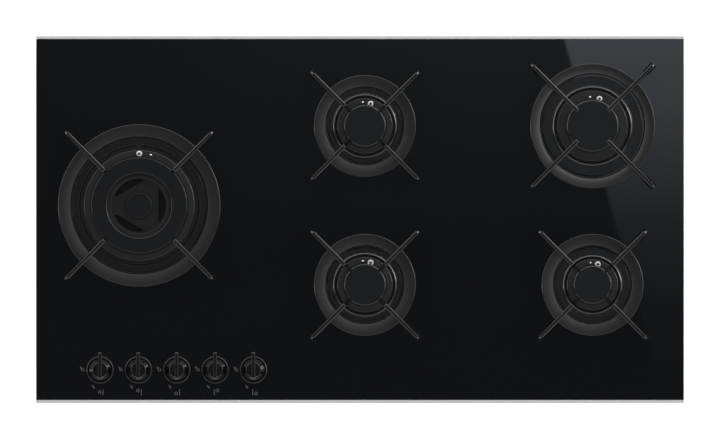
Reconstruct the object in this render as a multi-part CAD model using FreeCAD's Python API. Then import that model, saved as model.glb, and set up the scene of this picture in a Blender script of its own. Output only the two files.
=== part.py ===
"""Built-in gas cooktop, 90 cm wide: glass top, five burners, five lever knobs.

Millimetres.  X runs to the right, Y to the rear and Z up.  The origin is the
centre of the footprint, on the underside of the casing.
"""
import FreeCAD
import Part
import math
import os

# ---------------------------------------------------------------- glass and trims
overall_width = 900.0          # X, left edge to right edge of the glass
overall_depth = 510.0          # Y, over both edge trims
glass_thickness = 6.0
glass_arris = 0.5              # ground edge of the glass
trim_width = 4.2               # bright strip seen along the front and rear edges
trim_glue_gap = 0.3            # glue line between glass edge and trim
trim_lip_reach = 3.6           # lip under the glass
trim_lip_thickness = 1.5
trim_edge_chamfer = 0.8

# ---------------------------------------------------------------- casing below the glass
casing_side_inset = 27.0       # side edge of the glass to the side of the casing
casing_rear_inset = 19.0       # rear edge of the hob to the rear of the casing
casing_front_gap = 1.0         # front wall of the casing to the magnet units
casing_height = 46.0           # underside of the casing to underside of the glass
casing_sheet = 1.2
casing_flange = 6.0            # glued to the underside of the glass
seal_width = 4.0
seal_thickness = 3.0
seal_side_inset = 8.0          # seal to the bare side edges of the glass
seal_trim_gap = 0.4

# ---------------------------------------------------------------- burners: place on the glass
wok_edge_distance = 143.5      # left edge of the glass to the axis of the wok burner
right_edge_distance = 127.2    # right edge of the glass to the axes of the right burners
centre_x = 6.8
rear_edge_distance = 125.1     # rear edge of the hob to the rear burners
knob_to_front_burner = 118.2   # axes of the knobs to the front burners
knob_to_wok = 228.3            # axes of the knobs to the wok burner

# burner heads: heights above the glass
cup_top_height = 7.0           # seat of the crown on the cup
cup_groove_depth = 1.6         # spill groove, below the glass surface
cup_shoulder_drop = 1.2        # fall of the shoulder round the crown
cup_bead_height = 4.4
cup_flange_height = 2.0
crown_height = 9.4             # cup seat to the top of the crown
cap_thickness = 5.0
cap_bevel = 1.8
cap_bevel_height = 3.2
cup_bottom_depth = 32.0        # glass surface to the bottom of the cup
cup_floor_thickness = 6.0
glass_hole_clearance = 1.0
bead_half_width = 1.6
bead_wall = 0.8                # bead crest to the neck that passes the glass
shoulder_gap = 2.2             # cap edge to the edge of the cup seat
cap_overhang = 2.2             # cap edge past the ports of the crown
crown_seat_width = 2.2         # crown wall to its spigot
crown_wall = 7.4               # spigot radius to the bore of the crown
crown_spigot_length = 4.0
spigot_clearance = 0.1
port_width = 1.8
port_depth = 4.0
port_length = 6.5

# semi-rapid burner, two in the centre
semi_cap_radius = 28.8
semi_shoulder_radius = 37.6
semi_groove_radius = 40.2
semi_bead_radius = 43.8
semi_flange_radius = 52.2
semi_ports = 18

# auxiliary burner, right front
aux_cap_radius = 26.4
aux_shoulder_radius = 34.8
aux_groove_radius = 37.3
aux_bead_radius = 40.6
aux_flange_radius = 52.2
aux_ports = 16

# rapid burner, right rear
rapid_cap_radius = 35.8
rapid_shoulder_radius = 48.0
rapid_groove_radius = 50.6
rapid_bead_radius = 54.8
rapid_flange_radius = 69.6
rapid_ports = 22

# ultra-rapid wok burner, left
wok_cap_radius = 66.3
wok_cap_bore = 45.8            # inner edge of the ring-shaped cap
wok_shoulder_radius = 76.0
wok_groove_radius = 80.0
wok_bead_radius = 85.2
wok_flange_radius = 93.0
wok_crown_height = 12.0
wok_disc_radius = 38.0         # flat inner disc of the crown
wok_disc_drop = 6.0            # land of the ring-shaped cap to the inner disc
wok_band_gap = 1.2             # inner band to the bore of the cap
wok_centre_cap_radius = 17.7
wok_centre_cap_thickness = 3.4
wok_slot_inner = 26.7          # straight side of each crescent slot
wok_slot_outer = 36.4          # arc side of each crescent slot
wok_slot_half_length = 22.0
wok_slots = 3
wok_ports = 30
wok_spigot_wall = 12.0
wok_pad_inner = 67.2
wok_pad_outer = 78.0
wok_pad_start = 68.0           # degrees, the pad that carries electrode and probe
wok_pad_sweep = 34.0

# ---------------------------------------------------------------- electrodes, probes, injectors
electrode_radius = 3.5
electrode_top_height = 11.5
electrode_pin_radius = 1.2
electrode_pin_length = 2.5
probe_radius = 1.6
probe_top_height = 11.0
cap_to_electrode = 3.0         # cap edge to the centre of the electrode
cap_to_probe = 4.2
wok_cap_to_electrode = 5.5
electrode_azimuth = 75.5       # degrees from +X, the four small burners
probe_azimuth = 95.0
wok_electrode_azimuth = 90.0
wok_probe_azimuth = 77.0
injector_hex = 10.0            # across flats
injector_height = 9.0

# ---------------------------------------------------------------- pan supports
support_height = 38.0          # glass surface to the pan plane
arm_thickness = 5.2
arm_chamfer = 0.8
arm_tip_bevel = 2.6
arm_tip_depth = 8.0            # blade height at the inner tip
arm_depth = 12.0               # blade height along the arm
arm_tip_taper = 8.0            # length over which the inner tip tapers
arm_count = 4
ring_lower_height = 4.0
ring_inner_height = 7.6
ring_outer_height = 11.6
ring_gap = 2.6                 # cup flange to the ring
rapid_ring_gap = 3.4
ring_chamfer = 1.0             # legs start inside both edges of the ring
arm_leg_slope = 5.0            # slope of the legs under the arm
foot_height = 8.0
foot_width = 9.0
foot_length = 17.0
foot_overhang = 2.6            # foot past the outer tip of the arm
foot_floor = 3.0               # rubber under the blade
small_ring_width = 15.5
small_arm_inner = 39.0
small_arm_reach = 32.7         # outer edge of the ring to the outer tip of the arm
rapid_ring_width = 13.2
rapid_arm_inner = 29.0
rapid_arm_reach = 31.8
wok_ring_width = 16.8
wok_arm_inner = 67.9
wok_arm_reach = 29.6

# ---------------------------------------------------------------- knobs
knob_count = 5
knob_edge_distance = 88.9      # left edge of the glass to the first knob
knob_front_distance = 46.2     # front edge of the hob to the knobs
knob_pitch = 53.3
knob_base_radius = 15.1
knob_top_radius = 9.8
knob_base_gap = 3.8            # glass to the underside of the knob
knob_skirt_height = 4.0         # upright part of the skirt
knob_bevel_height = 5.2
knob_travel = 3.0              # push that opens the safety valve
lever_width = 4.9
lever_top = 23.0               # above the glass
lever_chamfer = 0.7
lever_front = 12.6             # lever end on the near side of the axis
lever_rear = 24.6              # pointer end on the far side
lever_tip_height = 17.0
lever_flat = 11.0
bezel_inner_radius = 16.3
bezel_outer_radius = 18.9
bezel_height = 2.8
shaft_radius = 3.0
shaft_flat = 2.4               # axis to the flat of the shaft
shaft_clearance = 0.05
shaft_end_gap = 1.0            # shaft end to the top of its bore
shaft_hole_radius = 7.0        # hole in the glass

# ---------------------------------------------------------------- gas taps and rail
rail_radius = 7.0
rail_axis_height = 12.0
rail_right_end = 24.0          # past the last tap
rail_side_distance = 20.0      # side of the casing to the run towards the inlet
rail_corner_cut = 24.0
tap_width = 21.0
tap_depth = 24.0
tap_top = 37.0
tap_cover_thickness = 2.0
tap_cover_width = 30.0
tap_port_height = 28.0         # outlet and magnet unit axis
tap_port_radius = 6.2
tap_outlet_reach = 16.0
tap_magnet_reach = 25.0
plug_bottom = 20.6
plug_top = 33.0
plug_radius = 7.0
plug_clearance = 0.05
plug_rest_gap = 0.1
tongue_width = 2.6
tongue_length = 8.0
tongue_clearance = 0.05
tongue_bottom = 26.6
tongue_top = 36.8
tongue_floor_gap = 0.4
cover_clearance = 0.05
pipe_radius = 4.0
pipe_corner_cut = 10.0
pipe_lane_pitch = 10.0
pipe_first_lane = 12.0         # first lane behind the tap outlets
cup_boss_radius = 6.0
cup_boss_reach = 10.0
centre_rear_pipe_reach = 90.8  # burner axis to the run of its pipe towards the rear
right_rear_pipe_reach = 108.8
wok_pipe_turn_distance = 104.8  # axes of the knobs to the turn of the wok pipe

# ---------------------------------------------------------------- gas inlet and its pocket
pocket_height = 30.0
pocket_width = 44.0
pocket_depth = 84.0
inlet_thread_radius = 10.48    # G 1/2 male thread
inlet_thread_length = 18.0
inlet_bore_radius = 7.0
inlet_bore_depth = 15.0
inlet_hex = 22.0
inlet_hex_length = 9.0
inlet_wall_clearance = 0.3

# ---------------------------------------------------------------- brackets, clamps, electrics
bracket_width = 34.0
bracket_length = 46.0
bracket_foot = 12.0
clamp_side_distance = 123.0    # side of the casing to the clamps
clamp_width = 25.0
clamp_sheet = 1.5
clamp_reach = 14.0
clamp_lip_height = 10.0
clamp_top_height = 32.0
clamp_screw_height = 24.0
screw_head_hex = 7.0
screw_head_height = 3.0
generator_x = -110.0
generator_rear_distance = 40.0  # rear of the casing to the middle of the generator
generator_size = (74.0, 36.0, 26.0)
switch_size = (7.0, 17.0, 6.4)
terminal_side_distance = 83.0  # right side of the casing to the terminal block
terminal_size = (46.0, 24.0, 20.0)
gland_height = 22.0            # cable entry axis above the underside of the casing
gland_bore = 4.0
gland_neck = 6.4
gland_length = 12.0
gland_stand_out = 2.0
gland_hole_clearance = 0.1

# ---------------------------------------------------------------- derived levels
glass_underside = casing_height
glass_surface = glass_underside + glass_thickness
worktop_level = glass_underside - seal_thickness
trim_inner_y = overall_depth / 2 - trim_width
glass_half_depth = trim_inner_y - trim_glue_gap
cup_seat = glass_surface + cup_top_height
crown_top = cup_seat + crown_height
wok_land = cup_seat + wok_crown_height
wok_disc_top = wok_land - wok_disc_drop
cup_bottom = glass_surface - cup_bottom_depth
pan_plane = glass_surface + support_height
knob_x = [knob_edge_distance - overall_width / 2 + knob_pitch * index
          for index in range(knob_count)]
knob_y = knob_front_distance - overall_depth / 2
wok_x = wok_edge_distance - overall_width / 2
wok_y = knob_y + knob_to_wok
right_x = overall_width / 2 - right_edge_distance
rear_y = overall_depth / 2 - rear_edge_distance
front_y = knob_y + knob_to_front_burner
casing_half_width = overall_width / 2 - casing_side_inset
casing_rear = overall_depth / 2 - casing_rear_inset
casing_front = knob_y - tap_magnet_reach - casing_front_gap - casing_sheet
pocket_front_y = casing_rear - pocket_depth
rail_left_x = rail_side_distance - casing_half_width
terminal_x = casing_half_width - terminal_side_distance
small_ring_inner = semi_flange_radius + ring_gap
rapid_ring_inner = rapid_flange_radius + rapid_ring_gap
wok_ring_inner = wok_flange_radius + ring_gap

ORIGIN = FreeCAD.Vector(0, 0, 0)
UP = FreeCAD.Vector(0, 0, 1)


# ---------------------------------------------------------------- shape helpers
def turned(outline, sweep=360.0):
    """Solid turned about the Z axis from a closed outline of (radius, height)."""
    points = [FreeCAD.Vector(radius, 0, height) for radius, height in outline]
    return Part.Face(Part.makePolygon(points + points[:1])).revolve(ORIGIN, UP, sweep)


def block(x_low, x_high, y_low, y_high, z_low, z_high):
    """Rectangular block between two corners."""
    corner = FreeCAD.Vector(x_low, y_low, z_low)
    return Part.makeBox(x_high - x_low, y_high - y_low, z_high - z_low, corner)


def centred(size, x, y, z_low):
    """Rectangular block of a given size, centred on x, y and standing on z_low."""
    return block(x - size[0] / 2, x + size[0] / 2, y - size[1] / 2, y + size[1] / 2,
                 z_low, z_low + size[2])


def rod(radius, start, direction, length):
    """Round bar from a start point along a direction."""
    return Part.makeCylinder(radius, length, FreeCAD.Vector(*start), FreeCAD.Vector(*direction))


def along_x(outline, x_low, x_high):
    """Bar along X with a closed section outline of (y, z)."""
    points = [FreeCAD.Vector(x_low, y, z) for y, z in outline]
    face = Part.Face(Part.makePolygon(points + points[:1]))
    return face.extrude(FreeCAD.Vector(x_high - x_low, 0, 0))


def along_y(outline, y_low, y_high):
    """Bar along Y with a closed section outline of (x, z)."""
    points = [FreeCAD.Vector(x, y_low, z) for x, z in outline]
    face = Part.Face(Part.makePolygon(points + points[:1]))
    return face.extrude(FreeCAD.Vector(0, y_high - y_low, 0))


def hexagon(across_flats, start, direction, length):
    """Hexagonal bar along a unit direction."""
    corner_radius = across_flats / math.sqrt(3)
    points = []
    for index in range(6):
        angle = math.radians(60 * index)
        points.append(FreeCAD.Vector(corner_radius * math.cos(angle),
                                     corner_radius * math.sin(angle), 0))
    bar = Part.Face(Part.makePolygon(points + points[:1])).extrude(UP * length)
    turn = FreeCAD.Rotation(UP, FreeCAD.Vector(*direction))
    bar.Placement = FreeCAD.Placement(FreeCAD.Vector(*start), turn)
    return bar


def moved(shape, x, y, z=0.0):
    """Copy of a shape at another place."""
    copy = shape.copy()
    copy.translate(FreeCAD.Vector(x, y, z))
    return copy


def spun(shape, angle):
    """Copy of a shape turned about the Z axis."""
    copy = shape.copy()
    copy.rotate(ORIGIN, UP, angle)
    return copy


def around(shape, count, start=0.0):
    """Copies of a shape in equal steps about the Z axis."""
    return [spun(shape, start + 360.0 * index / count) for index in range(count)]


def pipe(points, radius, corner_cut):
    """Round pipe through the points; each corner is cut by a short slanted run."""
    corner = [FreeCAD.Vector(*point) for point in points]
    route = [corner[0]]
    for before, here, after in zip(corner, corner[1:], corner[2:]):
        route.append(here + (before - here).normalize() * corner_cut)
        route.append(here + (after - here).normalize() * corner_cut)
    route.append(corner[-1])
    section = Part.Wire([Part.Circle(corner[0], corner[1] - corner[0], radius).toShape()])
    mitred = 1
    return Part.makePolygon(route).makePipeShell([section], True, False, mitred)


def save(node, solids):
    """Write one sub-part, a single solid or a group of separate solids."""
    shape = solids[0] if len(solids) == 1 else Part.makeCompound(solids)
    shape.exportStep("parts/" + node + ".step")


# ---------------------------------------------------------------- burner places
class Burner:
    """One burner: where it stands, its radii and its pan support."""

    def __init__(self, name, x, y, cap, shoulder, groove, bead, flange, ports):
        self.name = name
        self.x = x
        self.y = y
        self.cap = cap
        self.shoulder = shoulder
        self.groove = groove
        self.bead = bead
        self.flange = flange
        self.ports = ports
        self.neck = bead - bead_wall
        self.crown = cap - cap_overhang
        self.spigot = self.crown - crown_seat_width
        self.seat = cap + shoulder_gap
        self.electrode = cap + cap_to_electrode
        self.probe = cap + cap_to_probe

    def polar(self, radius, azimuth):
        """Point on the plan at a radius and azimuth from the burner axis."""
        angle = math.radians(azimuth)
        return self.x + radius * math.cos(angle), self.y + radius * math.sin(angle)


wok = Burner("wok", wok_x, wok_y, wok_cap_radius, wok_shoulder_radius, wok_groove_radius,
             wok_bead_radius, wok_flange_radius, wok_ports)
wok.electrode = wok_cap_radius + wok_cap_to_electrode
wok.probe = wok.electrode
semi_sizes = (semi_cap_radius, semi_shoulder_radius, semi_groove_radius, semi_bead_radius,
              semi_flange_radius, semi_ports)
centre_rear = Burner("centre_rear", centre_x, rear_y, *semi_sizes)
centre_front = Burner("centre_front", centre_x, front_y, *semi_sizes)
right_rear = Burner("right_rear", right_x, rear_y, rapid_cap_radius, rapid_shoulder_radius,
                    rapid_groove_radius, rapid_bead_radius, rapid_flange_radius, rapid_ports)
right_front = Burner("right_front", right_x, front_y, aux_cap_radius, aux_shoulder_radius,
                     aux_groove_radius, aux_bead_radius, aux_flange_radius, aux_ports)
burners = [wok, centre_rear, centre_front, right_rear, right_front]


# ---------------------------------------------------------------- glass, trims, seal, casing
def glass_top():
    glass = block(-overall_width / 2, overall_width / 2, -glass_half_depth, glass_half_depth,
                  glass_underside, glass_surface)
    outer = [edge for edge in glass.Edges if edge.BoundBox.ZMin > glass_surface - 0.01]
    glass = glass.makeChamfer(glass_arris, outer)
    holes = []
    for burner in burners:
        holes.append(rod(burner.neck + glass_hole_clearance, (burner.x, burner.y, 0),
                         (0, 0, 1), glass_surface + 1))
    for x in knob_x:
        holes.append(rod(shaft_hole_radius, (x, knob_y, 0), (0, 0, 1), glass_surface + 1))
    return glass.cut(holes)


def edge_trim(side):
    """Metal strip along one edge; side is -1 for the front and 1 for the rear."""
    outer = overall_depth / 2
    lip = trim_inner_y - trim_lip_reach
    low = glass_underside - trim_lip_thickness
    outline = [(outer, low), (outer, glass_surface - trim_edge_chamfer),
               (outer - trim_edge_chamfer, glass_surface), (trim_inner_y, glass_surface),
               (trim_inner_y, glass_underside), (lip, glass_underside), (lip, low)]
    section = [(side * y, z) for y, z in outline]
    return along_x(section, -overall_width / 2, overall_width / 2)


def rectangular_ring(half_x, y_low, y_high, width, z_low, z_high):
    """Flat rectangular frame given by its outer edges."""
    outer = block(-half_x, half_x, y_low, y_high, z_low, z_high)
    inner_x = half_x - width
    return outer.cut(block(-inner_x, inner_x, y_low + width, y_high - width,
                           z_low - 1, z_high + 1))


def worktop_seal():
    half_x = overall_width / 2 - seal_side_inset
    half_y = trim_inner_y - trim_lip_reach - seal_trim_gap
    return rectangular_ring(half_x, -half_y, half_y, seal_width, worktop_level, glass_underside)


def bottom_casing():
    """Pressed sheet tray with a flange, a pocket for the gas inlet and its holes."""
    half_x = casing_half_width
    outer = block(-half_x, half_x, casing_front, casing_rear, 0, casing_height)
    sheet = casing_sheet
    inner = block(-half_x + sheet, half_x - sheet, casing_front + sheet, casing_rear - sheet,
                  sheet, casing_height + 1)
    pocket_right = -half_x + pocket_width
    pocket_solid = block(-half_x, pocket_right, pocket_front_y, casing_rear, 0, pocket_height)
    pocket_space = block(-half_x - 1, pocket_right - sheet, pocket_front_y + sheet,
                         casing_rear + 1, -1, pocket_height - sheet)
    tray = outer.cut(inner).fuse(pocket_solid)
    flange = rectangular_ring(half_x + casing_flange, casing_front - casing_flange,
                              casing_rear + casing_flange, casing_flange + sheet,
                              casing_height - sheet, casing_height)
    tray = tray.fuse(flange).cut(pocket_space)
    holes = [rod(rail_radius + inlet_wall_clearance, (rail_left_x, pocket_front_y - 5,
                 rail_axis_height), (0, 1, 0), 10)]
    holes.append(rod(gland_neck + gland_hole_clearance,
                     (terminal_x, casing_rear - 5, gland_height), (0, 1, 0), 10))
    return tray.cut(holes).removeSplitter()


# ---------------------------------------------------------------- burner cups, crowns and caps
def cup(burner, boss_direction):
    """Burner body: rim with bead and spill groove, bore for the crown, floor for the injector."""
    level = glass_surface
    bore = burner.spigot + spigot_clearance
    floor = cup_bottom + cup_floor_thickness
    outline = [
        (bore, cup_seat), (burner.seat, cup_seat),
        (burner.shoulder, cup_seat - cup_shoulder_drop),
        (burner.groove, level - cup_groove_depth),
        (burner.bead, level + cup_bead_height),
        (burner.bead + bead_half_width, level + cup_flange_height),
        (burner.flange, level + cup_flange_height), (burner.flange, level),
        (burner.neck, level), (burner.neck, cup_bottom), (0, cup_bottom),
        (0, floor), (bore, floor),
    ]
    body = turned(outline)
    if burner is wok:
        pad = turned([(wok_pad_inner, level), (wok_pad_outer, level),
                      (wok_pad_outer, cup_seat), (wok_pad_inner, cup_seat)], wok_pad_sweep)
        body = body.fuse(spun(pad, wok_pad_start))
    boss_length = burner.neck + cup_boss_reach
    boss = rod(cup_boss_radius, (0, 0, tap_port_height), boss_direction, boss_length)
    inside = rod(bore + 1, (0, 0, cup_bottom), (0, 0, 1), cup_bottom_depth)
    body = body.fuse(boss.cut(inside))
    return moved(body, burner.x, burner.y)


def electrode(burner, body):
    """Ceramic insulator on the shoulder of the cup, with its spark pin."""
    azimuth = wok_electrode_azimuth if burner is wok else electrode_azimuth
    x, y = burner.polar(burner.electrode, azimuth)
    top = glass_surface + electrode_top_height
    ceramic = rod(electrode_radius, (x, y, glass_surface), (0, 0, 1), electrode_top_height)
    pin = rod(electrode_pin_radius, (x, y, top), (0, 0, 1), electrode_pin_length)
    return [ceramic.cut(body), pin]


def flame_probe(burner, body):
    """Tip of the thermocouple on the shoulder of the cup."""
    azimuth = wok_probe_azimuth if burner is wok else probe_azimuth
    x, y = burner.polar(burner.probe, azimuth)
    tip = rod(probe_radius, (x, y, glass_surface), (0, 0, 1), probe_top_height)
    return tip.cut(body)


def crown(burner):
    """Flame spreader with open ports round its upper edge."""
    bore = burner.spigot - crown_wall
    low = cup_seat - crown_spigot_length
    body = turned([(bore, crown_top), (burner.crown, crown_top), (burner.crown, cup_seat),
                   (burner.spigot, cup_seat), (burner.spigot, low), (bore, low)])
    port = block(burner.crown - port_length, burner.crown + 1, -port_width / 2, port_width / 2,
                 crown_top - port_depth, crown_top + 1)
    return moved(body.cut(around(port, burner.ports)), burner.x, burner.y)


def wok_crown():
    """Double crown: outer ring of ports, sloping band and a disc with crescent slots."""
    band_outer = wok_cap_bore - wok_band_gap
    outer = wok.crown
    spigot = wok.spigot
    low = cup_seat - crown_spigot_length
    bore = spigot - wok_spigot_wall
    body = turned([(0, cup_seat), (0, wok_disc_top), (wok_disc_radius, wok_disc_top),
                   (band_outer, wok_land), (outer, wok_land), (outer, cup_seat),
                   (spigot, cup_seat), (spigot, low), (bore, low), (bore, cup_seat)])
    port = block(outer - port_length, outer + 1, -port_width / 2, port_width / 2,
                 wok_land - port_depth, wok_land + 1)
    slot = block(wok_slot_inner, wok_slot_outer + 1, -wok_slot_half_length,
                 wok_slot_half_length, cup_seat - 1, wok_disc_top + 1)
    slot = slot.common(rod(wok_slot_outer, (0, 0, 0), (0, 0, 1), wok_disc_top + 2))
    cutters = around(port, wok_ports) + around(slot, wok_slots)
    return moved(body.cut(cutters), wok_x, wok_y)


def cap(radius, seat, thickness):
    """Round burner cap with a bevelled edge."""
    return turned([(0, seat), (radius, seat), (radius, seat + thickness - cap_bevel_height),
                   (radius - cap_bevel, seat + thickness), (0, seat + thickness)])


def wok_outer_cap():
    """Ring-shaped cap, bevelled at both edges."""
    top = wok_land + cap_thickness
    edge = top - cap_bevel_height
    return turned([(wok_cap_bore, wok_land), (wok_cap_radius, wok_land),
                   (wok_cap_radius, edge), (wok_cap_radius - cap_bevel, top),
                   (wok_cap_bore + cap_bevel, top)])


def injector(burner):
    floor = cup_bottom + cup_floor_thickness
    return hexagon(injector_hex, (burner.x, burner.y, floor), (0, 0, 1), injector_height)


def burner_bracket(burner):
    """Hat-shaped sheet that carries the cup on the floor of the casing."""
    half = bracket_width / 2
    floor = casing_sheet
    sheet = casing_sheet
    outline = [(-half - bracket_foot, floor), (-half + sheet, floor),
               (-half + sheet, cup_bottom - sheet), (half - sheet, cup_bottom - sheet),
               (half - sheet, floor), (half + bracket_foot, floor),
               (half + bracket_foot, floor + sheet), (half, floor + sheet),
               (half, cup_bottom), (-half, cup_bottom), (-half, floor + sheet),
               (-half - bracket_foot, floor + sheet)]
    bar = along_y(outline, -bracket_length / 2, bracket_length / 2)
    return moved(bar, burner.x, burner.y)


# ---------------------------------------------------------------- pan supports
def pan_support(burner, ring_inner, ring_width, arm_inner, arm_reach):
    """Cast ring with four upright blades that carry the pan."""
    ring_outer = ring_inner + ring_width
    arm_outer = ring_outer + arm_reach
    level = glass_surface
    ring = turned([(ring_inner, level + ring_lower_height),
                   (ring_outer, level + ring_lower_height),
                   (ring_outer, level + ring_outer_height),
                   (ring_inner, level + ring_inner_height)])
    foot_start = arm_outer + foot_overhang - foot_length
    under = pan_plane - arm_depth
    outline = [(arm_inner, pan_plane), (arm_outer - arm_tip_bevel, pan_plane),
               (arm_outer, pan_plane - arm_tip_bevel), (arm_outer, level + foot_floor),
               (foot_start, level + foot_floor), (foot_start, level + foot_height),
               (foot_start - arm_leg_slope, under), (ring_outer + arm_leg_slope, under),
               (ring_outer - ring_chamfer, level + ring_lower_height),
               (ring_inner + ring_chamfer, level + ring_lower_height),
               (ring_inner - arm_leg_slope, under),
               (arm_inner + arm_tip_taper, under), (arm_inner, pan_plane - arm_tip_depth)]
    blade = along_y(outline, -arm_thickness / 2, arm_thickness / 2)
    half = arm_thickness / 2
    section = [(-half, level), (half, level), (half, pan_plane - arm_chamfer),
               (half - arm_chamfer, pan_plane), (arm_chamfer - half, pan_plane),
               (-half, pan_plane - arm_chamfer)]
    blade = blade.common(along_x(section, arm_inner - 1, arm_outer + 1))
    casting = ring.fuse(around(blade, arm_count, 45.0)).removeSplitter()
    foot = block(foot_start, foot_start + foot_length, -foot_width / 2, foot_width / 2,
                 level, level + foot_height)
    foot = foot.cut(blade)
    feet = [moved(one, burner.x, burner.y) for one in around(foot, arm_count, 45.0)]
    return moved(casting, burner.x, burner.y), feet


# ---------------------------------------------------------------- knobs, shafts and taps
def knob(x):
    """Tapered knob with a lever bar that points to the rear at rest."""
    base = glass_surface + knob_base_gap
    top = base + knob_skirt_height + knob_bevel_height
    body = turned([(0, base), (knob_base_radius, base),
                   (knob_base_radius, base + knob_skirt_height), (knob_top_radius, top),
                   (0, top)])
    crest = glass_surface + lever_top
    points = [(-lever_front, top), (-lever_front, crest - lever_front + lever_flat),
              (-lever_flat, crest), (lever_flat, crest),
              (lever_rear, glass_surface + lever_tip_height), (lever_rear, top)]
    half = lever_width / 2
    bar = along_x(points, -half, half)
    section = [(-half, base), (half, base), (half, crest - lever_chamfer),
               (half - lever_chamfer, crest), (lever_chamfer - half, crest),
               (-half, crest - lever_chamfer)]
    bar = bar.common(along_y(section, -lever_front - 1, lever_rear + 1))
    body = body.fuse(bar).removeSplitter()
    bore = shaft(shaft_radius + shaft_clearance, shaft_flat + shaft_clearance, base - 1,
                 top - shaft_end_gap)
    return moved(body.cut(bore), x, knob_y)


def shaft(radius, flat, z_low, z_high):
    """Round bar with one flat on its near side."""
    bar = rod(radius, (0, 0, z_low), (0, 0, 1), z_high - z_low)
    return bar.cut(block(-radius - 1, radius + 1, -radius - 1, -flat, z_low - 1, z_high + 1))


def spindle(x):
    """Tap spindle: flat-sided shaft above, driving tongue below."""
    knob_top = glass_surface + knob_base_gap + knob_skirt_height + knob_bevel_height
    top = knob_top - shaft_end_gap
    bar = shaft(shaft_radius, shaft_flat, tongue_top, top)
    tongue = block(-tongue_width / 2, tongue_width / 2, -tongue_length / 2, tongue_length / 2,
                   tongue_bottom, tongue_top)
    tongue = tongue.common(rod(shaft_radius + 1, (0, 0, 0), (0, 0, 1), tongue_top))
    return moved(bar.fuse(tongue), x, knob_y)


def tap_plug(x):
    """Plug that meters the gas, with a slot for the spindle tongue."""
    plug = rod(plug_radius, (0, 0, plug_bottom), (0, 0, 1), plug_top - plug_bottom)
    half_x = tongue_width / 2 + tongue_clearance
    half_y = tongue_length / 2 + tongue_clearance
    floor = tongue_bottom - knob_travel - tongue_floor_gap
    slot = block(-half_x, half_x, -half_y, half_y, floor, plug_top + 1)
    return moved(plug.cut(slot), x, knob_y)


def tap_body(x):
    """Die-cast tap: bore for the plug, outlet to the rear, magnet unit to the front."""
    body = block(-tap_width / 2, tap_width / 2, -tap_depth / 2, tap_depth / 2,
                 rail_axis_height + rail_radius, tap_top)
    cross = rod(tap_port_radius, (0, -tap_magnet_reach, tap_port_height), (0, 1, 0),
                tap_magnet_reach + tap_outlet_reach)
    cover = block(-tap_cover_width / 2, tap_cover_width / 2, -tap_depth / 2, tap_depth / 2,
                  tap_top, tap_top + tap_cover_thickness)
    body = body.fuse([cross, cover])
    bore_low = plug_bottom - plug_rest_gap
    chamber = rod(plug_radius + plug_clearance, (0, 0, bore_low), (0, 0, 1),
                  tap_top - bore_low)
    hole = rod(shaft_radius + cover_clearance, (0, 0, tap_top - 1), (0, 0, 1),
               tap_cover_thickness + 2)
    return moved(body.cut([chamber, hole]).removeSplitter(), x, knob_y)


def knob_bezel(x):
    """Low ring on the glass round the knob."""
    top = glass_surface + bezel_height
    ring = turned([(bezel_inner_radius, glass_surface), (bezel_outer_radius, glass_surface),
                   (bezel_outer_radius, top), (bezel_inner_radius, top)])
    return moved(ring, x, knob_y)


# ---------------------------------------------------------------- gas rail, inlet and pipes
def gas_rail():
    points = [(knob_x[-1] + rail_right_end, knob_y, rail_axis_height),
              (rail_left_x, knob_y, rail_axis_height),
              (rail_left_x, pocket_front_y + casing_sheet, rail_axis_height)]
    return pipe(points, rail_radius, rail_corner_cut)


def gas_inlet():
    """Threaded union in the pocket of the casing, pointing to the rear."""
    start = pocket_front_y + casing_sheet
    nut = hexagon(inlet_hex, (rail_left_x, start, rail_axis_height), (0, 1, 0),
                  inlet_hex_length)
    thread = rod(inlet_thread_radius, (rail_left_x, start + inlet_hex_length,
                 rail_axis_height), (0, 1, 0), inlet_thread_length)
    end_y = start + inlet_hex_length + inlet_thread_length
    passage = rod(inlet_bore_radius, (rail_left_x, end_y - inlet_bore_depth, rail_axis_height),
                  (0, 1, 0), inlet_bore_depth + 1)
    return nut.fuse(thread).cut(passage)


def gas_pipes():
    """One pipe from each tap outlet to the boss of its burner cup, all at one level."""
    outlet_y = knob_y + tap_outlet_reach
    z = tap_port_height
    lane = [outlet_y + pipe_first_lane + pipe_lane_pitch * index for index in range(4)]

    def south(burner):
        return (burner.x, burner.y - burner.neck - cup_boss_reach, z)

    def west(burner):
        return (burner.x - burner.neck - cup_boss_reach, burner.y, z)

    wok_turn = knob_y + wok_pipe_turn_distance
    centre_rear_run = centre_x - centre_rear_pipe_reach
    right_rear_run = right_x - right_rear_pipe_reach
    routes = [
        [(knob_x[0], outlet_y, z), (knob_x[0], wok_turn, z), (wok_x, wok_turn, z), south(wok)],
        [(knob_x[1], outlet_y, z), (knob_x[1], lane[3], z), (centre_rear_run, lane[3], z),
         (centre_rear_run, rear_y, z), west(centre_rear)],
        [(knob_x[2], outlet_y, z), (knob_x[2], lane[2], z), (centre_x, lane[2], z),
         south(centre_front)],
        [(knob_x[3], outlet_y, z), (knob_x[3], lane[1], z), (right_rear_run, lane[1], z),
         (right_rear_run, rear_y, z), west(right_rear)],
        [(knob_x[4], outlet_y, z), (knob_x[4], lane[0], z), (right_x, lane[0], z),
         south(right_front)],
    ]
    return [pipe(route, pipe_radius, pipe_corner_cut) for route in routes]


# ---------------------------------------------------------------- clamps, screws, electrics
def fixing_clamp(x, wall, side):
    """Bent clamp on the casing wall that grips the worktop from below."""
    outline = [(0, clamp_lip_height), (clamp_reach, clamp_lip_height),
               (clamp_reach, clamp_lip_height + clamp_sheet),
               (clamp_sheet, clamp_lip_height + clamp_sheet),
               (clamp_sheet, clamp_top_height), (0, clamp_top_height)]
    section = [(wall + side * reach, z) for reach, z in outline]
    return along_x(section, x - clamp_width / 2, x + clamp_width / 2)


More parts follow.
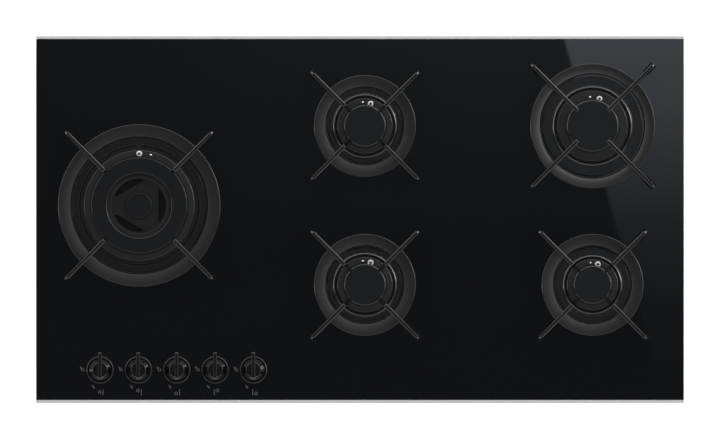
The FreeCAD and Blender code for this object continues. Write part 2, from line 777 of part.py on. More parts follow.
def clamp_screw(x, wall, side):
    """Head of the self-tapping hexagon screw that holds a clamp to the casing wall."""
    start = (x, wall + side * clamp_sheet, clamp_screw_height)
    return hexagon(screw_head_hex, start, (0, side, 0), screw_head_height)


def ignition_generator():
    y = casing_rear - generator_rear_distance
    return centred(generator_size, generator_x, y, casing_sheet)


def ignition_switch(x):
    """Micro switch on the tap cover, worked when the knob is pushed."""
    level = tap_top + tap_cover_thickness
    return centred(switch_size, x + tap_cover_width / 2 - switch_size[0] / 2, knob_y, level)


def terminal_block():
    y = casing_rear - gland_length - terminal_size[1] / 2
    return centred(terminal_size, terminal_x, y, casing_sheet)


def cable_gland():
    """Bush for the mains lead in the rear wall of the casing."""
    end = (terminal_x, casing_rear + gland_stand_out, gland_height)
    inward = (0, -1, 0)
    return rod(gland_neck, end, inward, gland_length).cut(rod(gland_bore, end, inward,
                                                              gland_length))


# ---------------------------------------------------------------- build every sub-part
def main():
    os.makedirs("parts", exist_ok=True)
    to_front = (0, -1, 0)
    to_left = (-1, 0, 0)
    boss_side = {"wok": to_front, "centre_rear": to_left, "centre_front": to_front,
                 "right_rear": to_left, "right_front": to_front}

    save("glass_top", [glass_top()])
    save("front_trim", [edge_trim(-1)])
    save("rear_trim", [edge_trim(1)])
    save("worktop_seal", [worktop_seal()])
    save("bottom_casing", [bottom_casing()])

    cups = [cup(burner, boss_side[burner.name]) for burner in burners]
    save("burner_cups", cups)
    save("burner_crowns", [wok_crown()] + [crown(burner) for burner in burners[1:]])
    save("burner_brackets", [burner_bracket(burner) for burner in burners])
    save("injectors", [injector(burner) for burner in burners])
    electrodes = []
    probes = []
    for burner, body in zip(burners, cups):
        electrodes += electrode(burner, body)
        probes.append(flame_probe(burner, body))
    save("spark_electrodes", electrodes)
    save("flame_probes", probes)

    for burner in burners[1:]:
        disc = cap(burner.cap, crown_top, cap_thickness)
        save("cap_" + burner.name, [moved(disc, burner.x, burner.y)])
    save("cap_wok_outer", [moved(wok_outer_cap(), wok_x, wok_y)])
    centre_cap = cap(wok_centre_cap_radius, wok_disc_top, wok_centre_cap_thickness)
    save("cap_wok_centre", [moved(centre_cap, wok_x, wok_y)])

    small = (small_ring_inner, small_ring_width, small_arm_inner, small_arm_reach)
    support_sizes = {
        "wok": (wok_ring_inner, wok_ring_width, wok_arm_inner, wok_arm_reach),
        "centre_rear": small,
        "centre_front": small,
        "right_rear": (rapid_ring_inner, rapid_ring_width, rapid_arm_inner, rapid_arm_reach),
        "right_front": small,
    }
    for burner in burners:
        casting, feet = pan_support(burner, *support_sizes[burner.name])
        save("pan_support_" + burner.name, [casting])
        save("support_feet_" + burner.name, feet)

    save("gas_taps", [tap_body(x) for x in knob_x])
    save("knob_bezels", [knob_bezel(x) for x in knob_x])
    save("ignition_switches", [ignition_switch(x) for x in knob_x])
    for index, x in enumerate(knob_x, start=1):
        save("tap_plug_" + str(index), [tap_plug(x)])
        save("spindle_" + str(index), [spindle(x)])
        save("knob_" + str(index), [knob(x)])

    save("gas_rail", [gas_rail()])
    save("gas_inlet_union", [gas_inlet()])
    save("gas_pipes", gas_pipes())

    clamp_x = casing_half_width - clamp_side_distance
    corners = [(x, wall, side) for x in (-clamp_x, clamp_x)
               for wall, side in ((casing_front, -1), (casing_rear, 1))]
    save("fixing_clamps", [fixing_clamp(*corner) for corner in corners])
    save("clamp_screws", [clamp_screw(*corner) for corner in corners])
    save("ignition_generator", [ignition_generator()])
    save("terminal_block", [terminal_block()])
    save("cable_gland", [cable_gland()])


main()
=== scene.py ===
"""Looks of a built-in gas cooktop: black glass top, five burners, cast pan supports, lever knobs.

Metres in the frame, but outlines of turned and cut pieces are written in millimetres above the
glass, the way a drawing of such a piece would give them.
"""
import math
import bmesh
import bpy
from mathutils import Matrix, Vector


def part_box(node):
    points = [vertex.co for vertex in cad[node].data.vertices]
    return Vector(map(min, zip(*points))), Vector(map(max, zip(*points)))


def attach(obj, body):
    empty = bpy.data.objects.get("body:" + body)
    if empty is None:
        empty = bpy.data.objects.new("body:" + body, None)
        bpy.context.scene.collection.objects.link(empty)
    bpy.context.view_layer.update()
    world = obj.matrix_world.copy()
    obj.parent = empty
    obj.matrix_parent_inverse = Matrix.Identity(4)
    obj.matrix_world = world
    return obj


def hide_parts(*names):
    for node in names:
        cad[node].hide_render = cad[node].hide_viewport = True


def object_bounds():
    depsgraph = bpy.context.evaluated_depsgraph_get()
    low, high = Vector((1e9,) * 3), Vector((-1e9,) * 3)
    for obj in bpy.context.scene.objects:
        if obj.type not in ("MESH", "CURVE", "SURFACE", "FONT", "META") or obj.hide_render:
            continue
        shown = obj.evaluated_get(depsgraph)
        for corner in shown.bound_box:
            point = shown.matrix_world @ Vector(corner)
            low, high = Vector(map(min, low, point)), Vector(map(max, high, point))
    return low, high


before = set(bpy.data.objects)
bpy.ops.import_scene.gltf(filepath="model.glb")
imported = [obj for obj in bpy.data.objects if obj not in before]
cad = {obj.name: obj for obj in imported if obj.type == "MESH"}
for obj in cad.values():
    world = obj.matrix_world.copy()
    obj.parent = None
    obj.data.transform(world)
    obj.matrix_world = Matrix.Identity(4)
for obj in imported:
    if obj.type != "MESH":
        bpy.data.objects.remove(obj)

cad_low, cad_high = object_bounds()

# -------------------------------------------------- camera
# The picture looks straight down on the glass. A very long lens far above gives the parallel
# view of a product plate; at the glass the picture is one metre wide.
GLASS_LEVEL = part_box("glass_top")[1].z
PICTURE_WIDTH = 1.0
LENS = 1000.0
SENSOR = 36.0
FAR_END = 100.0
camera_data = bpy.data.cameras.new("camera")
camera_data.lens = LENS
camera_data.sensor_width = SENSOR
camera_data.clip_end = FAR_END
camera = bpy.data.objects.new("camera", camera_data)
bpy.context.scene.collection.objects.link(camera)
camera.location = (0.0, 0.0, GLASS_LEVEL + PICTURE_WIDTH * LENS / SENSOR)
bpy.context.scene.camera = camera
bpy.context.scene.view_settings.view_transform = "Standard"

# -------------------------------------------------- studio
# White floor, a light tent whose walls are bright and whose top is dim, a soft lamp high at the
# rear right, and the dim ceiling panels whose mirror image lies on the glass.
FLOOR_SIZE = 60.0
FLOOR_TONE = 0.8
FLOOR_GLOW = 0.8              # added where the floor is seen, straight or in a mirror


def new_finish(name):
    """An empty node material with its surface shader."""
    material = bpy.data.materials.new(name)
    material.use_nodes = True
    nodes = material.node_tree.nodes
    return material, nodes, material.node_tree.links, nodes["Principled BSDF"]


def clear_selection():
    """Leaves edit mode and selects nothing."""
    if bpy.context.mode != "OBJECT":
        bpy.ops.object.mode_set(mode="OBJECT")
    bpy.ops.object.select_all(action="DESELECT")


def grey(value):
    """A grey colour with full alpha."""
    return (value, value, value, 1.0)


def combined(operation, first, second):
    """Two values joined by one sum, product or maximum."""
    node = nodes.new("ShaderNodeMath")
    node.operation = operation
    for socket, value in zip(node.inputs, (first, second)):
        if isinstance(value, float):
            socket.default_value = value
        else:
            links.new(value, socket)
    return node.outputs[0]


clear_selection()
bpy.ops.mesh.primitive_plane_add(size=FLOOR_SIZE, location=(0, 0, cad_low.z))
floor = bpy.context.object
floor.name = "floor"
floor_paint, nodes, links, shader = new_finish("white floor")
shader.inputs["Base Color"].default_value = grey(FLOOR_TONE)
shader.inputs["Roughness"].default_value = 0.9
glow = nodes.new("ShaderNodeEmission")
glow.inputs["Strength"].default_value = FLOOR_GLOW
path = nodes.new("ShaderNodeLightPath")
seen = combined("MAXIMUM", path.outputs["Is Camera Ray"], path.outputs["Is Glossy Ray"])
seen = combined("MAXIMUM", seen, path.outputs["Is Transmission Ray"])
both = nodes.new("ShaderNodeAddShader")
links.new(shader.outputs[0], both.inputs[0])
links.new(glow.outputs[0], both.inputs[1])
choose = nodes.new("ShaderNodeMixShader")
links.new(seen, choose.inputs[0])
links.new(shader.outputs[0], choose.inputs[1])
links.new(both.outputs[0], choose.inputs[2])
links.new(choose.outputs[0], nodes["Material Output"].inputs["Surface"])
floor.data.materials.append(floor_paint)


def ramp_along(source, low, high, stops):
    """Brightness along one direction, from stops of (share, value)."""
    span = nodes.new("ShaderNodeMapRange")
    span.inputs["From Min"].default_value = low
    span.inputs["From Max"].default_value = high
    links.new(source, span.inputs["Value"])
    ramp = nodes.new("ShaderNodeValToRGB")
    while len(ramp.color_ramp.elements) < len(stops):
        ramp.color_ramp.elements.new(0.5)
    for element, (share, value) in zip(ramp.color_ramp.elements, stops):
        element.position = share
        element.color = grey(value)
    links.new(span.outputs[0], ramp.inputs["Fac"])
    return ramp.outputs["Color"]


ROOM_PEAK = 4.0               # walls of the light tent; the stops below are shares of it
WALL_STOPS = [                # from the horizon to straight up
    (0.0, 0.45), (0.38, 0.45), (0.46, 1.0), (0.55, 1.0), (0.70, 0.55), (0.80, 0.21), (0.83, 0.17),
    (0.875, 0.13), (0.91, 0.105), (0.945, 0.085), (0.975, 0.042), (1.0, 0.032)]
COMPASS_STOPS = [             # low part of the walls, from the front to the rear
    (0.0, 0.55), (0.22, 0.55), (0.28, 0.12), (0.38, 0.12), (0.44, 1.0), (1.0, 1.0)]
SIDE_LEAN = (0.33, 0.25, 0.0)  # the upper part is brighter towards the rear right
LEAN_FADE = (0.88, 0.95)      # heights between which the lean ends
LOW_FADE = (0.6, 0.78)        # heights between which the low part ends
FADE_OUT = [(0.0, 1.0), (1.0, 0.0)]
WINDOW_RISE = 0.32            # the two side windows stand low over the horizon
WINDOWS = ((18.0, 14.0, 8.0), (184.0, 6.0, 8.0))       # azimuth, half width and strength
WINDOW_CORE = 0.7             # share of the half width that is fully bright
world = bpy.data.worlds.new("room")
bpy.context.scene.world = world
world.use_nodes = True
nodes = world.node_tree.nodes
links = world.node_tree.links
back = nodes["Background"]
direction = nodes.new("ShaderNodeTexCoord")
split = nodes.new("ShaderNodeSeparateXYZ")
links.new(direction.outputs["Generated"], split.inputs[0])
rise = ramp_along(split.outputs["Z"], 0.0, 1.0, WALL_STOPS)
level_way = nodes.new("ShaderNodeVectorMath")
level_way.operation = "MULTIPLY"
level_way.inputs[1].default_value = (1.0, 1.0, 0.0)
links.new(direction.outputs["Generated"], level_way.inputs[0])
compass = nodes.new("ShaderNodeVectorMath")
compass.operation = "NORMALIZE"
links.new(level_way.outputs[0], compass.inputs[0])
side = nodes.new("ShaderNodeVectorMath")
side.operation = "DOT_PRODUCT"
side.inputs[1].default_value = SIDE_LEAN
links.new(compass.outputs[0], side.inputs[0])
leaning = ramp_along(split.outputs["Z"], *LEAN_FADE, FADE_OUT)
upper = combined("ADD", combined("MULTIPLY", side.outputs["Value"], leaning), 1.0)
facing = nodes.new("ShaderNodeSeparateXYZ")
links.new(compass.outputs[0], facing.inputs[0])
lower = ramp_along(facing.outputs["Y"], -1.0, 1.0, COMPASS_STOPS)
lowness = ramp_along(split.outputs["Z"], *LOW_FADE, FADE_OUT)
pattern = nodes.new("ShaderNodeMix")
links.new(lowness, pattern.inputs["Factor"])
links.new(upper, pattern.inputs[2])
links.new(lower, pattern.inputs[3])
level = combined("MULTIPLY", combined("MULTIPLY", rise, ROOM_PEAK), pattern.outputs[0])
for azimuth, reach, strength in WINDOWS:
    angle = math.radians(azimuth)
    window_way = nodes.new("ShaderNodeVectorMath")
    window_way.operation = "DOT_PRODUCT"
    window_way.inputs[1].default_value = Vector(
        (math.cos(angle), math.sin(angle), WINDOW_RISE)).normalized()
    links.new(direction.outputs["Generated"], window_way.inputs[0])
    glint = ramp_along(window_way.outputs["Value"], math.cos(math.radians(reach)),
                       math.cos(math.radians(reach * WINDOW_CORE)), [(0.0, 0.0), (1.0, 1.0)])
    level = combined("ADD", level, combined("MULTIPLY", glint, strength))
path = nodes.new("ShaderNodeLightPath")
shown = nodes.new("ShaderNodeMix")
links.new(path.outputs["Is Camera Ray"], shown.inputs["Factor"])
links.new(level, shown.inputs[2])
shown.inputs[3].default_value = 1.0
links.new(shown.outputs[0], back.inputs["Strength"])
back.inputs["Color"].default_value = grey(1.0)

LAMP_WIDTH = 1.6
LAMP_DEPTH = 1.0
LAMP_POWER = 12.0
LAMP_PLACE = (1.7, 1.9, 1.7)
lamp_data = bpy.data.lights.new("rear right softbox", "AREA")
lamp_data.shape = "RECTANGLE"
lamp_data.size = LAMP_WIDTH
lamp_data.size_y = LAMP_DEPTH
lamp_data.energy = LAMP_POWER
lamp = bpy.data.objects.new("rear right softbox", lamp_data)
bpy.context.scene.collection.objects.link(lamp)
lamp.location = LAMP_PLACE
lamp.rotation_euler = Vector(LAMP_PLACE).to_track_quat("Z", "Y").to_euler()

# -------------------------------------------------- ceiling panels over the glass
# A pale studio ceiling hangs over the plate. Only its mirror image is seen: the glass brightens
# towards the rear, and a window-like panel lies slanted over its right rear corner.
PANEL_HEIGHT = 20.0
PANEL_SPREAD = 1.0 + PANEL_HEIGHT / (camera.location.z - GLASS_LEVEL)
PANEL_SIZE = 2.4
PANEL_EDGE_TOP = (0.2899, 0.2285)    # two points of its slanted edge on the glass
PANEL_EDGE_LOW = (0.3439, 0.0340)
PANEL_BLUR = 0.001
PANEL_TINT = (0.93, 1.0, 1.12, 1.0)
BASE_GLOW = 0.12
REAR_STOPS = [(0.0, 0.0), (0.45, 0.01), (1.0, 0.13)]      # from the front edge to the rear
RIGHT_STOPS = [(0.0, 0.15), (0.4, 0.6), (1.0, 1.0)]       # from the left edge to the right
WINDOW_STOPS = [(0.0, 0.0), (0.25, 0.03), (0.5, 0.2), (0.75, 0.6), (1.0, 1.0)]
clear_selection()
bpy.ops.mesh.primitive_plane_add(size=PANEL_SIZE, location=(0, 0, GLASS_LEVEL + PANEL_HEIGHT))
ceiling = bpy.context.object
ceiling.name = "ceiling"
ceiling.visible_camera = False
ceiling.visible_diffuse = False
ceiling.visible_shadow = False
ceiling.visible_transmission = False
ceiling_paint, nodes, links, shader = new_finish("ceiling")
nodes.remove(shader)
place = nodes.new("ShaderNodeTexCoord")
split = nodes.new("ShaderNodeSeparateXYZ")
links.new(place.outputs["Object"], split.inputs[0])
half_y = cad_high.y * PANEL_SPREAD
half_x = cad_high.x * PANEL_SPREAD
rear_glow = ramp_along(split.outputs["Y"], -half_y, half_y, REAR_STOPS)
right_glow = ramp_along(split.outputs["X"], -half_x, half_x, RIGHT_STOPS)
base_glow = combined("ADD", combined("MULTIPLY", rear_glow, right_glow), BASE_GLOW)
slope = (PANEL_EDGE_LOW[0] - PANEL_EDGE_TOP[0]) / (PANEL_EDGE_TOP[1] - PANEL_EDGE_LOW[1])
edge_x = combined("MULTIPLY", split.outputs["Y"], slope)
from_edge = combined("ADD", split.outputs["X"], edge_x)
edge_at = PANEL_SPREAD * (PANEL_EDGE_TOP[0] + PANEL_EDGE_TOP[1] * slope)
window = ramp_along(from_edge, edge_at - PANEL_BLUR, edge_at + PANEL_BLUR, [(0.0, 0.0), (1.0, 1.0)])
window_glow = ramp_along(split.outputs["Y"], -half_y, half_y, WINDOW_STOPS)
total = combined("ADD", base_glow, combined("MULTIPLY", window, window_glow))
glow = nodes.new("ShaderNodeEmission")
glow.inputs["Color"].default_value = PANEL_TINT
links.new(total, glow.inputs["Strength"])
links.new(glow.outputs[0], nodes["Material Output"].inputs["Surface"])
ceiling.data.materials.append(ceiling_paint)

# -------------------------------------------------- glass top
# One sheet of 6 mm ceramic glass, black right through and polished, with ground edges. Wiping
# leaves a faint unevenness in its gloss, too weak to see as a pattern.
GLASS_GLOSS = (0.006, 0.011)


def dressed(node, material):
    """Gives a carried-over piece its finish."""
    cad[node].data.materials.clear()
    cad[node].data.materials.append(material)


def spread(tree, source, low, high, start=0.0, stop=1.0):
    """A value between start and stop, moved to the range from low to high."""
    span = tree.nodes.new("ShaderNodeMapRange")
    span.inputs["From Min"].default_value = start
    span.inputs["From Max"].default_value = stop
    span.inputs["To Min"].default_value = low
    span.inputs["To Max"].default_value = high
    tree.links.new(source, span.inputs["Value"])
    return span.outputs[0]


glass, nodes, links, shader = new_finish("black glass")
shader.inputs["Base Color"].default_value = (0.0010, 0.0010, 0.0012, 1.0)
shader.inputs["IOR"].default_value = 1.5
place = nodes.new("ShaderNodeTexCoord")
wiping = nodes.new("ShaderNodeTexNoise")
wiping.inputs["Scale"].default_value = 9.0
wiping.inputs["Detail"].default_value = 3.0
links.new(place.outputs["Object"], wiping.inputs["Vector"])
gloss = spread(glass.node_tree, wiping.outputs["Fac"], *GLASS_GLOSS)
links.new(gloss, shader.inputs["Roughness"])
dressed("glass_top", glass)

# -------------------------------------------------- edge trims
# Extruded aluminium strips glued along the front and rear edges, brushed along their length and
# anodised to a pale satin.
NOISE_SPAN = (0.3, 0.7)       # nearly all values of a noise lie in it
TRIM_TONE = (0.36, 0.36, 0.36)
TRIM_FINENESS = 3000.0
TRIM_BARENESS = 0.05
TRIM_SPECULAR = 0.15
BRUSHING_DEPTH = 0.00002


def brushed_lines():
    """Lines left by brushing along X: fine stretched noise as roughness, tone and height."""
    group = bpy.data.node_groups.new("brushed lines", "ShaderNodeTree")
    group.interface.new_socket("Fineness", in_out="INPUT", socket_type="NodeSocketFloat")
    group.interface.new_socket("Roughness", in_out="OUTPUT", socket_type="NodeSocketFloat")
    group.interface.new_socket("Tone", in_out="OUTPUT", socket_type="NodeSocketFloat")
    group.interface.new_socket("Height", in_out="OUTPUT", socket_type="NodeSocketFloat")
    inner = group.nodes
    start = inner.new("NodeGroupInput")
    end = inner.new("NodeGroupOutput")
    place = inner.new("ShaderNodeTexCoord")
    stretch = inner.new("ShaderNodeVectorMath")
    stretch.operation = "MULTIPLY"
    stretch.inputs[1].default_value = (0.01, 1.0, 1.0)
    group.links.new(place.outputs["Object"], stretch.inputs[0])
    noise = inner.new("ShaderNodeTexNoise")
    noise.inputs["Detail"].default_value = 4.0
    group.links.new(stretch.outputs[0], noise.inputs["Vector"])
    group.links.new(start.outputs["Fineness"], noise.inputs["Scale"])
    for name, low, high in (("Roughness", 0.28, 0.44), ("Tone", 0.86, 1.0)):
        share = spread(group, noise.outputs["Fac"], low, high, *NOISE_SPAN)
        group.links.new(share, end.inputs[name])
    group.links.new(noise.outputs["Fac"], end.inputs["Height"])
    return group


BRUSHED = brushed_lines()


def tinted(tree, colour, tone):
    """A colour made lighter or darker by a tone."""
    tint = tree.nodes.new("ShaderNodeVectorMath")
    tint.operation = "SCALE"
    tint.inputs[0].default_value = colour
    tree.links.new(tone, tint.inputs["Scale"])
    return tint.outputs[0]


def bumped(tree, height, depth):
    """Raises the surface by a height pattern."""
    bump = tree.nodes.new("ShaderNodeBump")
    bump.inputs["Distance"].default_value = depth
    tree.links.new(height, bump.inputs["Height"])
    tree.links.new(bump.outputs[0], tree.nodes["Principled BSDF"].inputs["Normal"])


def brushed_metal(name, colour, fineness, bareness):
    """A brushed finish along X; the anodised skin over the metal is pale and satin."""
    material, nodes, links, shader = new_finish(name)
    lines = nodes.new("ShaderNodeGroup")
    lines.node_tree = BRUSHED
    lines.inputs["Fineness"].default_value = fineness
    shader.inputs["Metallic"].default_value = bareness
    pale = tinted(material.node_tree, colour, lines.outputs["Tone"])
    links.new(pale, shader.inputs["Base Color"])
    links.new(lines.outputs["Roughness"], shader.inputs["Roughness"])
    bumped(material.node_tree, lines.outputs["Height"], BRUSHING_DEPTH)
    return material


trim_metal = brushed_metal("brushed trim", TRIM_TONE, TRIM_FINENESS, TRIM_BARENESS)
trim_shader = trim_metal.node_tree.nodes["Principled BSDF"]
trim_shader.inputs["Specular IOR Level"].default_value = TRIM_SPECULAR
for node in ("front_trim", "rear_trim"):
    dressed(node, trim_metal)

# -------------------------------------------------- casing, clamps and brackets
# The casing is a folded tray of zinc-coated sheet with a faint crystal pattern. Clamps of the same
# sheet, with plated steel screws, hold it under the worktop, and brackets carry the cups in it.
CRYSTAL_TONE = (0.85, 1.0)
CRYSTAL_GLOSS = (0.32, 0.5)
KNOB_NUMBERS = range(1, 6)


def zinc_sheet(name, colour, patch):
    """Zinc-coated steel: small patches that differ a little in tone and gloss."""
    material, nodes, links, shader = new_finish(name)
    place = nodes.new("ShaderNodeTexCoord")
    crystals = nodes.new("ShaderNodeTexVoronoi")
    crystals.inputs["Scale"].default_value = patch
    links.new(place.outputs["Object"], crystals.inputs["Vector"])
    split = nodes.new("ShaderNodeSeparateColor")
    links.new(crystals.outputs["Color"], split.inputs[0])
    tone = spread(material.node_tree, split.outputs[0], *CRYSTAL_TONE)
    links.new(tinted(material.node_tree, colour, tone), shader.inputs["Base Color"])
    gloss = spread(material.node_tree, split.outputs[1], *CRYSTAL_GLOSS)
    links.new(gloss, shader.inputs["Roughness"])
    shader.inputs["Metallic"].default_value = 1.0
    return material


zinc = zinc_sheet("zinc sheet", (0.48, 0.49, 0.50), 160.0)
for node in ("bottom_casing", "burner_brackets", "fixing_clamps"):
    dressed(node, zinc)
plated = zinc_sheet("plated steel", (0.52, 0.52, 0.52), 900.0)
for node in ["clamp_screws", "gas_rail"] + ["spindle_" + str(n) for n in KNOB_NUMBERS]:
    dressed(node, plated)

# -------------------------------------------------- gas parts under the glass
# Turned brass plugs, injectors and inlet union, die-cast taps on a plated rail, and drawn
# aluminium pipes that are screwed to the taps and to the bosses of the cups.
brass = zinc_sheet("machined brass", (0.72, 0.52, 0.24), 1400.0)
for node in ["injectors", "gas_inlet_union"] + ["tap_plug_" + str(n) for n in KNOB_NUMBERS]:
    dressed(node, brass)
die_cast = zinc_sheet("die cast", (0.50, 0.50, 0.51), 500.0)
dressed("gas_taps", die_cast)
drawn = zinc_sheet("drawn aluminium", (0.66, 0.67, 0.68), 700.0)
dressed("gas_pipes", drawn)

# -------------------------------------------------- seal and electric parts
# A grey foam strip is stuck under the rim of the glass. The generator, the switches and the
# terminal block are moulded plastic, and a black bush guards the opening for the mains lead.
MOULD_GRAIN = 2500.0
MOULD_DEPTH = 0.00003
GLOSS_SWING = 0.06


def moulded(name, colour, roughness, grain, depth):
    """Moulded plastic or rubber: a fine leathery grain in height and gloss."""
    material, nodes, links, shader = new_finish(name)
    shader.inputs["Base Color"].default_value = colour
    place = nodes.new("ShaderNodeTexCoord")
    noise = nodes.new("ShaderNodeTexNoise")
    noise.inputs["Scale"].default_value = grain
    noise.inputs["Detail"].default_value = 4.0
    links.new(place.outputs["Object"], noise.inputs["Vector"])
    gloss = spread(material.node_tree, noise.outputs["Fac"], roughness - GLOSS_SWING,
                   roughness + GLOSS_SWING)
    links.new(gloss, shader.inputs["Roughness"])
    bumped(material.node_tree, noise.outputs["Fac"], depth)
    return material


dressed("worktop_seal", moulded("foam seal", grey(0.03), 0.9, 1500.0, 0.0003))
HOUSING_TONE = (0.72, 0.71, 0.68, 1.0)
pale_housing = moulded("pale housing", HOUSING_TONE, 0.5, MOULD_GRAIN, MOULD_DEPTH)
for node in ("ignition_generator", "ignition_switches", "terminal_block"):
    dressed(node, pale_housing)
dressed("cable_gland", moulded("black bush", grey(0.02), 0.5, MOULD_GRAIN, MOULD_DEPTH))

# -------------------------------------------------- burner caps
# Pressed steel lids under matt black enamel. They are loose and lie on the crowns; the one of
# the wok burner is a ring with a small second cap in the middle of the disc.
MM = 0.001                    # a millimetre in metres
CAP_EDGE = 1.3                # width of the sloping upper edge
SMALL_EDGE = 0.95             # the same on the two lids of the wok burner
EDGE_SLOPE = 0.58
CAP_ROUND = 0.3
LID_BORE = 45.8               # of the wok's ring lid
LID_BORE_ROUND = 0.2
ENAMEL_GLOSS = (0.16, 0.19)
ENAMEL_GRAIN = 1400.0
ENAMEL_DEPTH = 0.000003
GLAZE_INDEX = 1.5
TURN_STEPS = 128
MERGE = 5e-6
SUPPORT = 0.08                # extra point on each side of a rounding, so that flats stay flat
SMOOTH = math.radians(32.0)


def select_only(*pieces):
    """Selects these pieces alone and makes the first one active."""
    clear_selection()
    for piece in pieces:
        piece.select_set(True)
    bpy.context.view_layer.objects.active = pieces[0]


def face_outwards():
    """Turns all faces of the edited mesh outwards."""
    bpy.ops.mesh.select_all(action="SELECT")
    bpy.ops.mesh.normals_make_consistent(inside=False)


def rounded(corners, arc_steps=4):
    """Outline with arcs from corners of (across, up, radius of the rounding), in millimetres."""
    points = []
    for index, (across, up, radius) in enumerate(corners):
        here = Vector((across, up))
        if radius == 0:
            points.append(here)
            continue
        before = Vector(corners[index - 1][:2]) - here
        after = Vector(corners[(index + 1) % len(corners)][:2]) - here
        half = before.angle(after) / 2
        middle = here + (before.normalized() + after.normalized()).normalized() * (
            radius / math.sin(half))
        first = here + before.normalized() * (radius / math.tan(half)) - middle
        last = here + after.normalized() * (radius / math.tan(half)) - middle
        points.append(middle + first + before.normalized() * SUPPORT)
        points += [middle + first.slerp(last, step / arc_steps) for step in range(arc_steps + 1)]
        points.append(middle + last + after.normalized() * SUPPORT)
    return points


def turned(name, centre, corners, steps=TURN_STEPS):
    """Ring or disc spun about an upright axis from its section, in millimetres over the glass."""
    section = rounded(corners)
    clear_selection()
    bpy.ops.mesh.primitive_circle_add(vertices=len(section))
    piece = bpy.context.object
    piece.name = name
    for vertex, (radius, height) in zip(piece.data.vertices, section):
        vertex.co = (radius * MM, 0.0, GLASS_LEVEL + height * MM)
    bpy.ops.object.mode_set(mode="EDIT")
    bpy.ops.mesh.select_all(action="SELECT")
    bpy.ops.mesh.spin(steps=steps, angle=math.tau, center=(0, 0, 0), axis=(0, 0, 1))
    bpy.ops.mesh.select_all(action="SELECT")
    bpy.ops.mesh.remove_doubles(threshold=MERGE)
    bpy.ops.mesh.delete_loose()
    face_outwards()
    bpy.ops.object.mode_set(mode="OBJECT")
    piece.location = (*centre, 0.0)
    return piece


def settle(piece, body, slot, material, *nodes):
    """Fixes a piece's place in its mesh, dresses it, hangs it on its body and hides its CAD nodes;
    the slot is not used.
    """
    select_only(piece)
    bpy.ops.object.transform_apply(location=True, rotation=True, scale=True)
    bpy.ops.object.shade_smooth_by_angle(angle=SMOOTH)
    piece.data.materials.clear()
    piece.data.materials.append(material)
    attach(piece, body)
    if nodes:
        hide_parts(*nodes)


def middle_of(node):
    """Centre of a CAD node seen from above."""
    low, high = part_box(node)
    return (low.x + high.x) / 2, (low.y + high.y) / 2


def cap_sizes(node):
    """Radius, seat and top of a cap in millimetres, the heights over the glass."""
    low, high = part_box(node)
    return (high.x - low.x) / 2 / MM, (low.z - GLASS_LEVEL) / MM, (high.z - GLASS_LEVEL) / MM


def cast_grain():
    """Grain of enamel over a casting: soft waves and a fine speckle, as height and gloss."""
    group = bpy.data.node_groups.new("cast grain", "ShaderNodeTree")
    group.interface.new_socket("Size", in_out="INPUT", socket_type="NodeSocketFloat")
    group.interface.new_socket("Gloss", in_out="OUTPUT", socket_type="NodeSocketFloat")
    group.interface.new_socket("Height", in_out="OUTPUT", socket_type="NodeSocketFloat")
    inner = group.nodes
    start = inner.new("NodeGroupInput")
    end = inner.new("NodeGroupOutput")
    place = inner.new("ShaderNodeTexCoord")
    fine = inner.new("ShaderNodeTexNoise")
    fine.inputs["Detail"].default_value = 5.0
    group.links.new(place.outputs["Object"], fine.inputs["Vector"])
    group.links.new(start.outputs["Size"], fine.inputs["Scale"])
    broad = inner.new("ShaderNodeTexNoise")
    broad.inputs["Scale"].default_value = 60.0
    group.links.new(place.outputs["Object"], broad.inputs["Vector"])
    group.links.new(broad.outputs["Fac"], end.inputs["Gloss"])
    group.links.new(fine.outputs["Fac"], end.inputs["Height"])
    return group


CAST_GRAIN = cast_grain()


def enamel(name, colour, smoothest, roughest, grain, depth):
    """Black enamel or burnished casting: dark body, dull to silky surface with a cast grain."""
    material, nodes, links, shader = new_finish(name)
    shader.inputs["Base Color"].default_value = colour
    shader.inputs["IOR"].default_value = GLAZE_INDEX
    cast = nodes.new("ShaderNodeGroup")
    cast.node_tree = CAST_GRAIN
    cast.inputs["Size"].default_value = grain
    gloss = spread(material.node_tree, cast.outputs["Gloss"], smoothest, roughest, *NOISE_SPAN)
    links.new(gloss, shader.inputs["Roughness"])
    bumped(material.node_tree, cast.outputs["Height"], depth)
    return material


# Painted shade: the caps' enamel is coloured darker than the cups' enamel, only to even out the
# light the caps catch while the cup flanges lie in the pan supports' shade.
cap_enamel = enamel("cap enamel", (0.0029, 0.0031, 0.0033, 1.0), *ENAMEL_GLOSS, ENAMEL_GRAIN,
                    ENAMEL_DEPTH)
for burner in ("centre_rear", "centre_front", "right_rear", "right_front", "wok_centre"):
    node = "cap_" + burner
    radius, seat, top = cap_sizes(node)
    edge = SMALL_EDGE if burner == "wok_centre" else CAP_EDGE
    lid = turned(burner + "_lid", middle_of(node), [
        (0, seat, 0), (radius, seat, CAP_ROUND), (radius, top - EDGE_SLOPE * edge, CAP_ROUND),
        (radius - edge, top, CAP_ROUND), (0, top, 0)])
    settle(lid, node, "cap_enamel", cap_enamel, node)

radius, seat, top = cap_sizes("cap_wok_outer")
lid = turned("wok_ring_lid", middle_of("cap_wok_outer"), [
    (LID_BORE, seat, CAP_ROUND), (radius, seat, CAP_ROUND),
    (radius, top - EDGE_SLOPE * SMALL_EDGE, CAP_ROUND), (radius - SMALL_EDGE, top, CAP_ROUND),
    (LID_BORE, top, LID_BORE_ROUND)])
settle(lid, "cap_wok_outer", "cap_enamel", cap_enamel, "cap_wok_outer")

